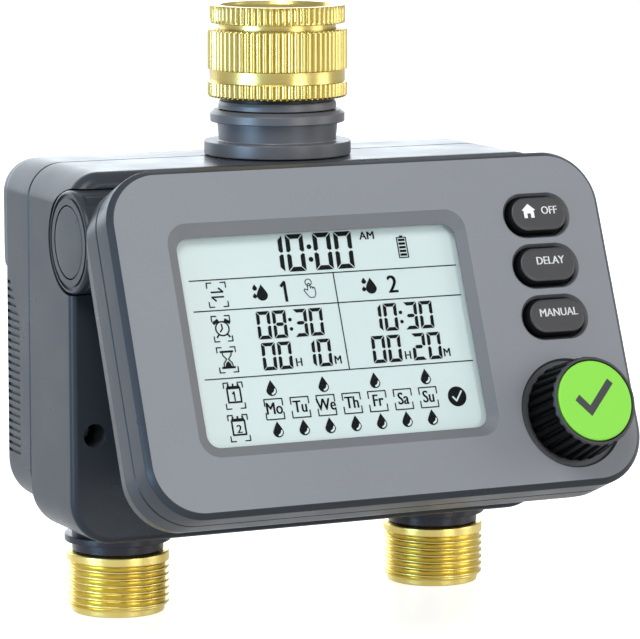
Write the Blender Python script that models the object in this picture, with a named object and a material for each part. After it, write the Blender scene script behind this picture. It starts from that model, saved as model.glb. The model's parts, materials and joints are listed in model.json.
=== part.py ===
"""Two-outlet drip irrigation timer with a tilting control panel.

Metres. The origin is the centre of the inlet's mouth, +X is the dial's side, -Y is the front and
+Z is up, so the whole timer hangs below the origin, as it hangs from a tap.

Flat parts are drawn in a face frame: x to the right, y up, z out towards the user. The housing's
face frame stands on the origin. The panel's stands on the hinge axis and turns with it.
"""
from math import cos, pi, radians, sin, sqrt

import bmesh
import bpy
from mathutils import Matrix, Vector

MM = 0.001
GAP = 0.3 * MM                     # clearance between touching pieces
BIG_ROUND = 28                     # sides of a large round part
ROUND = 16                         # sides of a small or hidden round part
VALVE_ROUND = 20                   # sides of the manifold's round parts

# Housing, face frame: y is the height, z is the depth
BODY_HALF_W = 67.5 * MM
BODY_TOP = -38.8 * MM
BODY_BOTTOM = -132.7 * MM          # front shell
REAR_BOTTOM = -128.0 * MM          # rear shell
BODY_FRONT = 24.0 * MM
BODY_SEAM = -4.5 * MM
BODY_REAR = -22.4 * MM
BODY_R_LOW = 11.5 * MM
BODY_R_TOP = 9.0 * MM
BODY_WALL = 2.5 * MM
FRONT_FILLET = 1.8 * MM
TOP_ROLL = 4.0 * MM                # rounding of the top front edge
BODY_SCREWS = ((-61.4, -104.6), (61.4, -104.6), (-20.0, -52.0), (20.0, -52.0))

# Hinge
HINGE_HEIGHT = -55.9 * MM
HINGE_OUT = 22.5 * MM              # distance of the axis in front of the origin
PANEL_TILT = 22.4                  # degrees, from upright, in the stored pose
BARREL_R = 12.9 * MM
SCOOP_R = 13.3 * MM
KNUCKLE_R = 8.8 * MM
BARREL_IN = 45.0 * MM
BARREL_OUT = 67.5 * MM
PIN_R = 3.0 * MM
PIN_BORE_R = 3.15 * MM

# Panel, face frame on the hinge axis
PANEL_HALF_W = 67.75 * MM
PANEL_TOP = 9.95 * MM
PANEL_BOTTOM = -77.35 * MM
PANEL_FACE = 27.5 * MM
PANEL_SEAM = 19.2 * MM
PANEL_BACK = 9.5 * MM
PANEL_R = 14.0 * MM
PANEL_WALL = 2.4 * MM
FACE_WALL = 1.6 * MM
FACE_CHAMFER = 1.1 * MM
REAR_BEVEL = 3.0 * MM
RIM_DROP = 0.9 * MM                # the rear cover's rim stands this far behind its back
PANEL_SCREWS = ((-22.0, 4.5), (22.0, 4.5), (-50.0, -71.0), (50.0, -71.0))

# Window, buttons and dial, panel face frame
WINDOW = (-50.55 * MM, 25.55 * MM, -60.15 * MM, -7.55 * MM)
WINDOW_RIM = (-53.2 * MM, 28.2 * MM, -62.75 * MM, -4.15 * MM)
BUTTON_X = 48.8 * MM
BUTTON_Y = (-7.05 * MM, -20.35 * MM, -33.75 * MM)
BUTTON_NAMES = ("button_off", "button_delay", "button_manual")
DIAL_X = 48.7 * MM
DIAL_Y = -58.65 * MM
DIAL_TOP = 40.1 * MM
DIAL_BASE = 27.0 * MM
DIAL_BASE_R = 12.5 * MM
DIAL_TOP_R = 11.5 * MM
DIAL_RIBS = 28

# Battery bay, panel face frame
CELL_R = 7.25 * MM
CELL_LENGTH = 50.5 * MM
CELL_ROWS = (-39.95 * MM, -55.05 * MM)
CELL_Z = 10.55 * MM

# Water path
OUTLET_X = 45.5 * MM
THREAD_R = 13.22                   # G3/4 crest radius in millimetres
SIDES = (("left", -1), ("right", 1))

# Finishes: colour, roughness, metallic
SHELL = ((0.115, 0.13, 0.15), 0.45, 0.0)
FACE = ((0.25, 0.25, 0.255), 0.5, 0.0)
NECK = ((0.06, 0.062, 0.07), 0.4, 0.0)
BRASS = ((0.72, 0.57, 0.2), 0.3, 1.0)
STEEL = ((0.6, 0.6, 0.6), 0.3, 1.0)
BLACK = ((0.02, 0.02, 0.022), 0.45, 0.0)
KEY = ((0.08, 0.08, 0.082), 0.5, 0.0)
RUBBER = ((0.03, 0.03, 0.03), 0.8, 0.0)
WHITE = ((0.7, 0.7, 0.68), 0.5, 0.0)
GREEN = ((0.33, 0.8, 0.11), 0.35, 0.0)
DISPLAY = ((0.6, 0.7, 0.68), 0.25, 0.0)
GLASS = ((0.9, 0.95, 0.95), 0.05, 0.0)
BOARD = ((0.02, 0.2, 0.08), 0.5, 0.0)
COPPER = ((0.75, 0.35, 0.15), 0.35, 1.0)
CELL = ((0.1, 0.1, 0.12), 0.35, 0.0)


def mm(*values):
    """Millimetres to metres."""
    return tuple(v * MM for v in values)


# Mesh builders -----------------------------------------------------------------------------------
def skin(rings, closed=False):
    """A body over rings of equal length, capped at both ends, or joined last to first."""
    bm = bmesh.new()
    loops = [[bm.verts.new(p) for p in ring] for ring in rings]
    pairs = list(zip(loops, loops[1:]))
    if closed:
        pairs.append((loops[-1], loops[0]))
    else:
        bm.faces.new(loops[0])
        bm.faces.new(loops[-1])
    for a, b in pairs:
        for i, j in zip(range(-1, len(a) - 1), range(len(a))):
            bm.faces.new((a[i], a[j], b[j], b[i]))
    return bm


def turned(profile, segments=ROUND):
    """A body of revolution about Z from (radius, height) points; a radius of 0 is a pole."""
    bm = bmesh.new()
    loops = []
    for radius, height in profile:
        if radius == 0:
            loops.append([bm.verts.new((0, 0, height))] * segments)
            continue
        angles = [2 * pi * i / segments for i in range(segments)]
        loops.append([bm.verts.new((radius * cos(a), radius * sin(a), height)) for a in angles])
    pairs = list(zip(loops, loops[1:]))
    if profile[0][0] > 0:
        pairs.append((loops[-1], loops[0]))
    for a, b in pairs:
        for i, j in zip(range(-1, segments - 1), range(segments)):
            corners = list(dict.fromkeys((a[i], a[j], b[j], b[i])))
            bm.faces.new(corners)
    return bm


def rounded(x0, x1, y0, y1, z, r_low, r_top=None, steps=5):
    """The points of a rounded rectangle at height z."""
    r_top = r_low if r_top is None else r_top
    corners = ((x1 - r_top, y1 - r_top, r_top), (x0 + r_top, y1 - r_top, r_top),
               (x0 + r_low, y0 + r_low, r_low), (x1 - r_low, y0 + r_low, r_low))
    points = []
    for quarter, (cx, cy, r) in enumerate(corners):
        for i in range(steps + 1):
            a = radians(90 * (quarter + i / steps))
            points.append(Vector((cx + r * cos(a), cy + r * sin(a), z)))
    return points


def plate(x0, x1, y0, y1, z0, z1, radius, steps=4):
    """A flat plate with rounded corners."""
    return skin([rounded(x0, x1, y0, y1, z, radius, steps=steps) for z in (z0, z1)])


def stadium(cx, cy, width, height, z, steps=4):
    """The points of a slot shape with round ends."""
    w, h = width / 2, height / 2
    return rounded(cx - w, cx + w, cy - h, cy + h, z, h * 0.995, steps=steps)


def block(x0, x1, y0, y1, z0, z1):
    """A box."""
    corners = ((x0, y0), (x1, y0), (x1, y1), (x0, y1))
    return skin([[Vector((x, y, z)) for x, y in corners] for z in (z0, z1)])


def rod(radius, start, end, segments=ROUND):
    """A round bar between two points."""
    start, end = Vector(start), Vector(end)
    axis = end - start
    bm = bmesh.new()
    bmesh.ops.create_cone(bm, cap_ends=True, segments=segments, radius1=radius, radius2=radius,
                          depth=axis.length)
    turn = axis.to_track_quat("Z", "Y").to_matrix().to_4x4()
    place = Matrix.Translation((start + end) / 2) @ turn
    bmesh.ops.transform(bm, matrix=place, verts=bm.verts)
    return bm


def prism_x(points, x0, x1):
    """A (y, z) polygon drawn along x."""
    return skin([[Vector((x, y, z)) for y, z in points] for x in (x0, x1)])


def frame_ring(outline, inset_out, inset_in, z0, z1):
    """A gasket-like ring: outline(inset, z) gives its edge lines."""
    rings = (outline(inset_out, z0), outline(inset_out, z1), outline(inset_in, z1),
             outline(inset_in, z0))
    return skin(rings, closed=True)


# Objects -----------------------------------------------------------------------------------------
def place_mesh(name, bm, parent):
    """Turn a bmesh into an object on a parent."""
    bmesh.ops.recalc_face_normals(bm, faces=bm.faces)
    mesh = bpy.data.meshes.new(name)
    bm.to_mesh(mesh)
    bm.free()
    obj = bpy.data.objects.new(name, mesh)
    bpy.context.scene.collection.objects.link(obj)
    obj.parent = parent
    return obj


def piece(name, bm, finish, parent=None, location=(0, 0, 0), rotation=(0, 0, 0)):
    """One sub-part, with its own material."""
    obj = place_mesh(name, bm, parent)
    obj.location = location
    obj.rotation_euler = rotation
    obj.data.shade_smooth()
    obj.data.set_sharp_from_angle(angle=radians(32))
    colour, roughness, metallic = finish
    mat = bpy.data.materials.new(name)
    mat.use_nodes = True
    shader = mat.node_tree.nodes["Principled BSDF"]
    shader.inputs["Base Color"].default_value = (*colour, 1.0)
    shader.inputs["Roughness"].default_value = roughness
    shader.inputs["Metallic"].default_value = metallic
    obj.data.materials.append(mat)
    return obj


def combine(target, bm, operation):
    """Join a shape to a piece, or cut it away, in the piece's own frame."""
    tool = place_mesh(f"{target.name}_{operation.lower()}_{len(target.modifiers)}", bm, target)
    tool.hide_render = True
    tool.display_type = "WIRE"
    modifier = target.modifiers.new(tool.name, "BOOLEAN")
    modifier.operation = operation
    modifier.solver = "EXACT"
    modifier.object = tool


def cut(target, bm):
    combine(target, bm, "DIFFERENCE")


def join(target, bm):
    combine(target, bm, "UNION")


def empty(name, parent=None, location=(0, 0, 0), rotation=(0, 0, 0)):
    obj = bpy.data.objects.new(name, None)
    bpy.context.scene.collection.objects.link(obj)
    obj.parent = parent
    obj.location = location
    obj.rotation_euler = rotation
    return obj


# Inlet -------------------------------------------------------------------------------------------
def inlet_parts():
    """The stack on the inlet axis: brass adapter, swivel nut, washers, snap ring, neck, filter."""
    adapter = [mm(17.45, 0), mm(17.45, -4.6), mm(15, -4.6), mm(15, -16.5), mm(9.5, -16.5),
               mm(9.5, -14), mm(12.1, -14), mm(12.1, -3.4), mm(14.7, -0.8), mm(14.7, 0)]
    piece("inlet_adapter", turned(adapter, BIG_ROUND), BRASS)
    piece("inlet_washer", turned([mm(9.8, -11.7), mm(9.8, -13.7), mm(11.8, -13.7),
                                  mm(11.8, -11.7)]), RUBBER)
    piece("adapter_washer", turned([mm(9.8, -16.8), mm(9.8, -18.8), mm(14.8, -18.8),
                                    mm(14.8, -16.8)]), RUBBER)
    nut = [mm(15.3, -6.1), mm(17.6, -6.1), mm(18, -6.6), mm(18, -16.4), mm(17.5, -16.8),
           mm(17.5, -19.4), mm(18, -19.8), mm(18, -23.2), mm(17.6, -23.6), mm(12.9, -23.6),
           mm(12.9, -21.5), mm(15.3, -21.5)]
    piece("inlet_nut", turned(nut, BIG_ROUND), BRASS)
    ring = [mm(12.8, -23.9), mm(15.1, -23.9), mm(14.6, -26.7), mm(12.8, -26.7)]
    piece("inlet_snap_ring", turned(ring, BIG_ROUND), BLACK)
    neck = [mm(15, -19.1), mm(15, -21.2), mm(12.5, -21.2), mm(12.5, -27), mm(17.4, -27),
            mm(17.4, -30.1), mm(15.6, -30.1), mm(15.2, -35), mm(19, -35), mm(19, -38.5),
            mm(11, -38.5), mm(11, -48), mm(8.9, -48), mm(8.9, -20.5), mm(10.6, -20.5),
            mm(10.6, -19.1)]
    piece("inlet_neck", turned(neck, BIG_ROUND), NECK)
    screen = [mm(0, -33), mm(8.5, -33), mm(8.5, -20.2), mm(10.3, -20.2), mm(10.3, -19.3),
              mm(7.9, -19.3), mm(7.9, -32.4), mm(0, -32.4)]
    piece("inlet_filter", turned(screen), STEEL)


# Valves and outlets ------------------------------------------------------------------------------
def valve_manifold():
    """Inlet tube, cross duct and two valve bowls, each with a raised seat over its outlet."""
    tube = turned([mm(0, -48.3), mm(10.5, -48.3), mm(10.5, -118.6), mm(0, -118.6)],
                  VALVE_ROUND)
    body = piece("valve_manifold", tube, BLACK)
    join(body, rod(6.3 * MM, mm(-44, 0, -111.5), mm(44, 0, -111.5), 16))
    for _, side in SIDES:
        bowl = turned([mm(0, -104), mm(11.5, -104), mm(11.5, -120), mm(8.5, -120),
                       mm(8.5, -125.7), mm(0, -125.7)], VALVE_ROUND)
        bmesh.ops.translate(bowl, vec=(side * OUTLET_X, 0, 0), verts=bowl.verts)
        join(body, bowl)
    cut(body, rod(8 * MM, mm(0, 0, -47), mm(0, 0, -115.5), VALVE_ROUND))
    cut(body, rod(4.4 * MM, mm(-37.2, 0, -111.5), mm(37.2, 0, -111.5), 16))
    for _, side in SIDES:
        chamber = turned([mm(6.9, -103), mm(6.9, -117), mm(9.8, -117), mm(9.8, -103)],
                         VALVE_ROUND)
        bmesh.ops.translate(chamber, vec=(side * OUTLET_X, 0, 0), verts=chamber.verts)
        cut(body, chamber)
        centre = side * OUTLET_X
        cut(body, rod(5.4 * MM, (centre, 0, -102 * MM), (centre, 0, -127 * MM), VALVE_ROUND))


def spring(name, location, radius, wire_r, low, high, turns):
    """A coil spring as one open wire."""
    steps = 9
    count = turns * steps
    curve = bpy.data.curves.new(name, "CURVE")
    curve.dimensions = "3D"
    curve.bevel_depth = wire_r
    curve.bevel_resolution = 0
    curve.use_fill_caps = True
    line = curve.splines.new("POLY")
    line.points.add(count)
    for i, point in enumerate(line.points):
        a = 2 * pi * i / steps
        height = low + wire_r + (high - low - 2 * wire_r) * i / count
        point.co = (radius * cos(a), radius * sin(a), height, 1)
    obj = bpy.data.objects.new(name, curve)
    bpy.context.scene.collection.objects.link(obj)
    obj.location = location
    mat = bpy.data.materials.new(name)
    mat.use_nodes = True
    shader = mat.node_tree.nodes["Principled BSDF"]
    shader.inputs["Metallic"].default_value = 1.0
    curve.materials.append(mat)


def valve_parts():
    """One solenoid valve over each outlet."""
    for word, side in SIDES:
        at = (side * OUTLET_X, 0, 0)
        diaphragm = turned([mm(0, -103.7), mm(11.2, -103.7), mm(11.2, -102.5), mm(0, -102.5)])
        piece(f"valve_diaphragm_{word}", diaphragm, RUBBER, location=at)
        bonnet = [mm(4.3, -102.2), mm(11.4, -102.2), mm(11.4, -99), mm(5.5, -99), mm(5.5, -76),
                  mm(0, -76), mm(0, -77.5), mm(4.3, -77.5)]
        cup = bonnet[6:] + bonnet[:6]
        piece(f"valve_bonnet_{word}", turned(cup), WHITE, location=at)
        coil = [mm(5.8, -98.7), mm(10.5, -98.7), mm(10.5, -79), mm(5.8, -79)]
        piece(f"solenoid_coil_{word}", turned(coil), COPPER, location=at)
        plunger = [mm(0, -101.5), mm(2.2, -101.5), mm(4, -99.5), mm(4, -88), mm(0, -88)]
        piece(f"plunger_{word}", turned(plunger, 16), STEEL, location=at)
        spring(f"plunger_spring_{word}", at, 3.3 * MM, 0.4 * MM, -87.7 * MM, -77.8 * MM, 5)


def outlet_parts():
    """Plastic collar and brass tail of each outlet."""
    for word, side in SIDES:
        at = (side * OUTLET_X, 0, 0)
        neck = [mm(10.6, -126), mm(10.6, -133), mm(11.8, -133), mm(11.8, -134.4),
                mm(13.75, -134.4), mm(13.75, -136.2), mm(11.8, -136.2), mm(11.8, -138.6),
                mm(9.5, -138.6), mm(9.5, -127), mm(9, -126)]
        piece(f"outlet_neck_{word}", turned(neck, BIG_ROUND), NECK, location=at)
        tail = [mm(THREAD_R, -138.9), mm(THREAD_R, -152.4), mm(12, -153.2), mm(12, -154.7),
                mm(9.5, -154.7), mm(9.5, -138.9)]
        piece(f"outlet_thread_{word}", turned(tail, BIG_ROUND), BRASS, location=at)


# Housing -----------------------------------------------------------------------------------------
def body_outline(inset, z, bottom=BODY_BOTTOM, drop=None, steps=5):
    """The housing's outline; drop lowers its top edge."""
    drop = inset if drop is None else drop
    return rounded(-BODY_HALF_W + inset, BODY_HALF_W - inset, bottom + inset, BODY_TOP - drop, z,
                   BODY_R_LOW - inset, BODY_R_TOP - inset, steps)


def round_over(radius, depth):
    """How far a quarter-round edge has drawn in at a depth past its start."""
    return radius - sqrt(max(radius * radius - depth * depth, 0.0)) if depth > 0 else 0.0


def front_shell(house):
    depths = (BODY_SEAM + GAP / 2, 20 * MM, 22.2 * MM, 23.3 * MM, 23.8 * MM, BODY_FRONT)
    rings = []
    for z in depths:
        inset = round_over(FRONT_FILLET, z - (BODY_FRONT - FRONT_FILLET))
        drop = round_over(TOP_ROLL, z - (BODY_FRONT - TOP_ROLL))
        rings.append(body_outline(inset, z, drop=drop))
    shell = piece("front_shell", skin(rings), SHELL, house)
    inner = BODY_HALF_W - BODY_WALL
    back = BODY_SEAM - 1 * MM
    front = BODY_FRONT - BODY_WALL
    roof = BODY_TOP - BODY_WALL
    shelf = -71.5 * MM
    cut(shell, plate(-inner, inner, BODY_BOTTOM + BODY_WALL, shelf, -1.5 * MM, front, 4 * MM))
    cut(shell, plate(-inner, inner, REAR_BOTTOM + BODY_WALL, roof, back, 7.5 * MM, 6.5 * MM))
    cut(shell, plate(-29 * MM, 29 * MM, shelf - 1 * MM, roof - 2 * MM, back, front, 1 * MM))
    for side in (-1, 1):
        at = HINGE_HEIGHT, HINGE_OUT
        join(shell, rod(KNUCKLE_R, (side * 30 * MM, *at), (side * 48 * MM, *at)))
        cut(shell, rod(SCOOP_R, (side * 44.7 * MM, *at), (side * 72 * MM, *at), BIG_ROUND))
        cut(shell, rod(PIN_BORE_R, (side * 35.5 * MM, *at), (side * 46 * MM, *at)))
    cut(shell, rod(11.5 * MM, mm(0, -46, 0), mm(0, -37, 0)))
    for _, side in SIDES:
        x = side * OUTLET_X
        cut(shell, rod(11.2 * MM, (x, -137 * MM, 0), (x, -123 * MM, 0)))
    for x, y in BODY_SCREWS:
        join(shell, rod(3.8 * MM, mm(x, y, -4), mm(x, y, 22.5), 16))
        cut(shell, rod(1.7 * MM, mm(x, y, -6), mm(x, y, 13), 12))
        cut(shell, rod(3 * MM, mm(x, y, 12.5), mm(x, y, 26), 16))


def bulge_outline(inset, low, z):
    """The deeper top of the rear shell, down to the height low."""
    return rounded(-BODY_HALF_W + inset, BODY_HALF_W - inset, low, BODY_TOP - inset, z,
                   1 * MM, BODY_R_TOP - inset)


def rear_shell(house):
    depths = (BODY_SEAM - GAP / 2, -19.4 * MM, -20.9 * MM, -21.9 * MM, BODY_REAR)
    rings = []
    for z in depths:
        inset = round_over(3 * MM, -19.4 * MM - z)
        rings.append(body_outline(inset, z, REAR_BOTTOM))
    shell = piece("rear_shell", skin(rings), SHELL, house)
    bulge = ((0.35, -63, -20.5), (0.35, -63, -22.2), (0.8, -61.2, -23.7), (2.4, -59.5, -25.2))
    join(shell, skin([bulge_outline(*mm(inset, low, z)) for inset, low, z in bulge]))
    inner = BODY_HALF_W - BODY_WALL
    cut(shell, plate(-inner, inner, REAR_BOTTOM + BODY_WALL, BODY_TOP - BODY_WALL,
                     -20 * MM, -3 * MM, 6.5 * MM))
    cut(shell, frame_ring(seal_outline, 0.8 * MM, 1.8 * MM, -5.7 * MM, -3 * MM))
    cut(shell, rod(11.5 * MM, mm(0, -46, 0), mm(0, -37, 0)))
    for _, side in SIDES:
        x = side * OUTLET_X
        cut(shell, rod(11.2 * MM, (x, -137 * MM, 0), (x, -123 * MM, 0)))
    for x, y in BODY_SCREWS:
        join(shell, rod(3.8 * MM, mm(x, y, -21), mm(x, y, -5), 16))
        cut(shell, rod(1.5 * MM, mm(x, y, -16), mm(x, y, -3), 12))


def seal_outline(inset, z):
    return body_outline(inset, z, REAR_BOTTOM)


def screw(name, x, y, head_z, tip_z, parent, head_r=2.8 * MM, shank_r=1.35 * MM):
    """A pan-head screw that points along the face frame's z; its head is at head_z."""
    away = 1 if head_z > tip_z else -1
    under = head_z - away * 1.8 * MM
    profile = [(0, tip_z), (shank_r, tip_z), (shank_r, under), (head_r, under),
               (head_r, head_z - away * 0.4 * MM), (head_r - 0.7 * MM, head_z), (0, head_z)]
    piece(name, turned(profile, 10), STEEL, parent, location=(x, y, 0))


def housing():
    house = empty("housing_frame", rotation=(radians(90), 0, 0))
    front_shell(house)
    rear_shell(house)
    for word, side in SIDES:
        ring = frame_ring(seal_outline, 0.95 * MM, 1.65 * MM, -5.5 * MM, -4.5 * MM)
        seal = piece(f"shell_seal_{word}", ring, RUBBER, house)
        other = sorted((-side * 80 * MM, side * 13 * MM))
        outlet = sorted((side * 5 * MM, side * 58 * MM))
        cut(seal, block(*other, -150 * MM, -20 * MM, -10 * MM, 0))
        cut(seal, block(*outlet, -150 * MM, -120 * MM, -10 * MM, 0))
    for number, (x, y) in enumerate(BODY_SCREWS, 1):
        screw(f"shell_screw_{number}", x * MM, y * MM, 14.7 * MM, -14 * MM, house)
    for word, side in SIDES:
        pin = rod(PIN_R, (side * 36 * MM, 0, 0), (side * 65.2 * MM, 0, 0))
        piece(f"hinge_pin_{word}", pin, STEEL, house, location=(0, HINGE_HEIGHT, HINGE_OUT))


# Panel -------------------------------------------------------------------------------------------
def panel_outline(inset, z, drop=None, steps=5):
    """The panel's outline; drop lowers its top edge."""
    drop = inset if drop is None else drop
    return rounded(-PANEL_HALF_W + inset, PANEL_HALF_W - inset, PANEL_BOTTOM + inset,
                   PANEL_TOP - drop, z, PANEL_R - inset, steps=steps)


def panel_bezel(panel):
    rings = (panel_outline(0, PANEL_SEAM), panel_outline(0, PANEL_FACE - FACE_CHAMFER),
             panel_outline(FACE_CHAMFER, PANEL_FACE))
    bezel = piece("panel_bezel", skin(rings), FACE, panel)
    floor = PANEL_FACE - FACE_WALL
    above = PANEL_FACE + 1 * MM
    below = floor - 1 * MM
    cut(bezel, skin([panel_outline(PANEL_WALL, PANEL_SEAM - 1 * MM),
                     panel_outline(PANEL_WALL, floor)]))
    for x, y in PANEL_SCREWS:
        join(bezel, rod(3.4 * MM, mm(x, y, 19.5), mm(x, y, 26.5), 16))
        cut(bezel, rod(1.5 * MM, mm(x, y, 18), mm(x, y, 24.5), 12))
    steps = ((WINDOW, below), (WINDOW, PANEL_FACE - 1.3 * MM), (WINDOW_RIM, PANEL_FACE),
             (WINDOW_RIM, above))
    radii = (3.5 * MM, 3.5 * MM, 5.5 * MM, 5.5 * MM)
    cut(bezel, skin([rounded(*box, z, r) for (box, z), r in zip(steps, radii)]))
    for y in BUTTON_Y:
        slot = ((17.4, 10.6, below), (17.4, 10.6, PANEL_FACE - 1 * MM),
                (19, 11.8, PANEL_FACE), (19, 11.8, above))
        cut(bezel, skin([stadium(BUTTON_X, y, w * MM, h * MM, z) for w, h, z in slot]))
    dish = turned([(0, 26.7 * MM), (13.3 * MM, 26.7 * MM), (14.1 * MM, PANEL_FACE),
                   (14.1 * MM, above), (0, above)], BIG_ROUND)
    bmesh.ops.translate(dish, vec=(DIAL_X, DIAL_Y, 0), verts=dish.verts)
    cut(bezel, dish)
    cut(bezel, rod(8.3 * MM, (DIAL_X, DIAL_Y, below), (DIAL_X, DIAL_Y, above)))


def panel_rear_cover(panel):
    """Back half of the panel, with the hinge barrels and the battery bay."""
    rim = PANEL_BACK - RIM_DROP
    rings = (panel_outline(0, PANEL_SEAM - GAP), panel_outline(0, PANEL_BACK + REAR_BEVEL),
             panel_outline(0.8 * MM, rim, REAR_BEVEL))
    cover = piece("panel_rear_cover", skin(rings), SHELL, panel)
    inside, below = 3.4 * MM, rim - 1 * MM
    cut(cover, skin([panel_outline(inside, z, 6 * MM) for z in (below, PANEL_BACK)]))
    cut(cover, skin([panel_outline(PANEL_WALL, 11.7 * MM), panel_outline(PANEL_WALL, 20 * MM)]))
    pod = [rounded(*mm(-60.5 + i, 60.5 - i, -68 + i, -24 - i, z, 5 - i))
           for i, z in ((0, 10.5), (0, 2.8), (1, 1.8))]
    join(cover, skin(pod))
    for side in (-1, 1):
        join(cover, rod(BARREL_R, (side * BARREL_IN, 0, 0), (side * BARREL_OUT, 0, 0), BIG_ROUND))
        web = [mm(12.9, 0), mm(9.2, 9.5), mm(8, 11.5), mm(-12.9, 11.5), mm(-12.9, 0)]
        join(cover, prism_x(web, side * BARREL_IN, side * 65.5 * MM))
        cut(cover, rod(PIN_BORE_R, (side * 44 * MM, 0, 0), (side * 66 * MM, 0, 0)))
        cut(cover, rod(9.3 * MM, (side * 65.7 * MM, 0, 0), (side * 69 * MM, 0, 0)))
    cut(cover, block(*mm(-54.3, 54.3, -64.7, -30.3, 0, 13.5)))
    cut(cover, block(*mm(-57, 57, -70, -27.9, 0, 3.3)))
    cut(cover, block(*mm(-58.6, 58.6, -70, -27.9, 2.9, 4.5)))
    for x, y in PANEL_SCREWS:
        join(cover, rod(3.4 * MM, mm(x, y, 10.6), mm(x, y, 18.7), 16))
        cut(cover, rod(1.7 * MM, mm(x, y, 8), mm(x, y, 20), 12))
        cut(cover, rod(3 * MM, mm(x, y, 8), mm(x, y, 11.9), 16))
    cut(cover, frame_ring(panel_outline, 0.8 * MM, 1.8 * MM, 17.9 * MM, 20 * MM))


def display(panel):
    lens = plate(*mm(-53.6, 28.6, -63.2, -4.5, 24.4, 25.6, 4))
    piece("lcd_lens", lens, GLASS, panel)
    module = plate(*mm(-53, 28, -62.6, -5.1, 21.9, 24.1, 1))
    piece("lcd_module", module, DISPLAY, panel)


def electronics(panel):
    piece("circuit_board", plate(*mm(-62, 62, -66, -1.2, 18.1, 19.7, 3)), BOARD, panel)
    mat = piece("button_mat", plate(*mm(39, 58.6, -41, -1.5, 20, 21, 1)), RUBBER, panel)
    for y in BUTTON_Y:
        join(mat, rod(4 * MM, (BUTTON_X, y, 20.5 * MM), (BUTTON_X, y, 22.5 * MM)))
    encoder = block(-5.5 * MM, 5.5 * MM, -5.5 * MM, 5.5 * MM, 20 * MM, 22.6 * MM)
    piece("dial_encoder", encoder, STEEL, panel, location=(DIAL_X, DIAL_Y, 0))


def battery_parts(panel):
    number = 0
    for y in CELL_ROWS:
        for side in (-1, 1):
            number += 1
            tip, rim = side * 0.3 * MM, side * (0.3 * MM + CELL_LENGTH)
            cell = rod(CELL_R, (tip, 0, 0), (rim, 0, 0))
            piece(f"battery_{number}", cell, CELL, panel, location=(0, y, CELL_Z))
    for word, side in SIDES:
        near, far = sorted((side * 51.2 * MM, side * 51.9 * MM))
        contact = block(near, far, *mm(-62.5, -32.5, 4.8, 17.5))
        piece(f"battery_contact_{word}", contact, STEEL, panel)
    cover = piece("battery_cover", block(*mm(-56.7, 56.7, -66.4, -28.2, 1.8, 3)), SHELL, panel)
    for side in (-1, 1):
        near, far = sorted((side * 54.7 * MM, side * 58.3 * MM))
        join(cover, block(near, far, *mm(-66.4, -28.2, 3.0 - 0.05, 4.2)))
    grip = block(*mm(-8, 8, -36, -33, 1.2, 2.4))
    cut(cover, grip)


def buttons(panel):
    """Three slot-shaped push buttons, each with a flange behind the face and a stem."""
    sizes = ((18.8, 12.2, 24.6), (18.8, 12.2, 25.6), (16.8, 10, 25.6), (16.8, 10, 27.6),
             (16.2, 9.3, 28.7), (15.6, 8.6, 29.1))
    for name, y in zip(BUTTON_NAMES, BUTTON_Y):
        rings = [stadium(0, 0, w * MM, h * MM, z * MM) for w, h, z in sizes]
        button = piece(name, skin(rings), KEY, panel, location=(BUTTON_X, y, 0))
        join(button, rod(2.5 * MM, mm(0, 0, 23.8), mm(0, 0, 25)))


def dial(panel):
    """The ribbed ring that turns and the round button in its middle."""
    def ribbed(radius, z):
        count = DIAL_RIBS * 4
        depths = (0.0, 0.0, 0.7 * MM, 0.7 * MM)
        points = []
        for i in range(count):
            a = 2 * pi * i / count
            r = radius - depths[i % 4]
            points.append(Vector((r * cos(a), r * sin(a), z)))
        return points

    rings = (ribbed(DIAL_BASE_R - 0.4 * MM, DIAL_BASE), ribbed(DIAL_BASE_R, 27.6 * MM),
             ribbed(DIAL_TOP_R, DIAL_TOP - 0.8 * MM), ribbed(DIAL_TOP_R - 0.5 * MM, DIAL_TOP))
    at = (DIAL_X, DIAL_Y, 0)
    ring = piece("dial_ring", skin(rings), BLACK, panel, location=at)
    join(ring, rod(8 * MM, mm(0, 0, 24.4), mm(0, 0, 28)))
    cut(ring, rod(10.5 * MM, mm(0, 0, 36.9), mm(0, 0, 42), BIG_ROUND))
    cut(ring, rod(3.4 * MM, mm(0, 0, 23), mm(0, 0, 38)))
    cap = [mm(0, 23.7), mm(3.1, 23.7), mm(3.1, 38.3), mm(10.2, 38.3), mm(10.2, 39.7),
           mm(9.6, 40.3), mm(0, 40.3)]
    piece("dial_cap", turned(cap, BIG_ROUND), GREEN, panel, location=at)


def control_panel():
    hinge = empty("panel_hinge", location=(0, -HINGE_OUT, HINGE_HEIGHT),
                  rotation=(radians(90 - PANEL_TILT), 0, 0))
    panel_bezel(hinge)
    panel_rear_cover(hinge)
    gasket = frame_ring(panel_outline, 0.95 * MM, 1.65 * MM, 18.05 * MM, 19.05 * MM)
    piece("panel_gasket", gasket, RUBBER, hinge)
    display(hinge)
    electronics(hinge)
    battery_parts(hinge)
    buttons(hinge)
    dial(hinge)
    for number, (x, y) in enumerate(PANEL_SCREWS, 1):
        screw(f"panel_screw_{number}", x * MM, y * MM, 9.8 * MM, 23.5 * MM, hinge, 2.6 * MM)
    for word, side in SIDES:
        cap = rod(9 * MM, (side * 66 * MM, 0, 0), (side * 67.5 * MM, 0, 0))
        piece(f"hinge_cap_{word}", cap, SHELL, hinge)


def main():
    for obj in list(bpy.data.objects):
        bpy.data.objects.remove(obj, do_unlink=True)
    inlet_parts()
    valve_manifold()
    valve_parts()
    outlet_parts()
    housing()
    control_panel()


main()
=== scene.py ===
"""Looks for the two-outlet drip irrigation timer: shells, brass, display, keys, dial, light."""
import json
from math import cos, pi, radians, sin, sqrt

import bmesh
import bpy
from mathutils import Matrix, Vector


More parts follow.
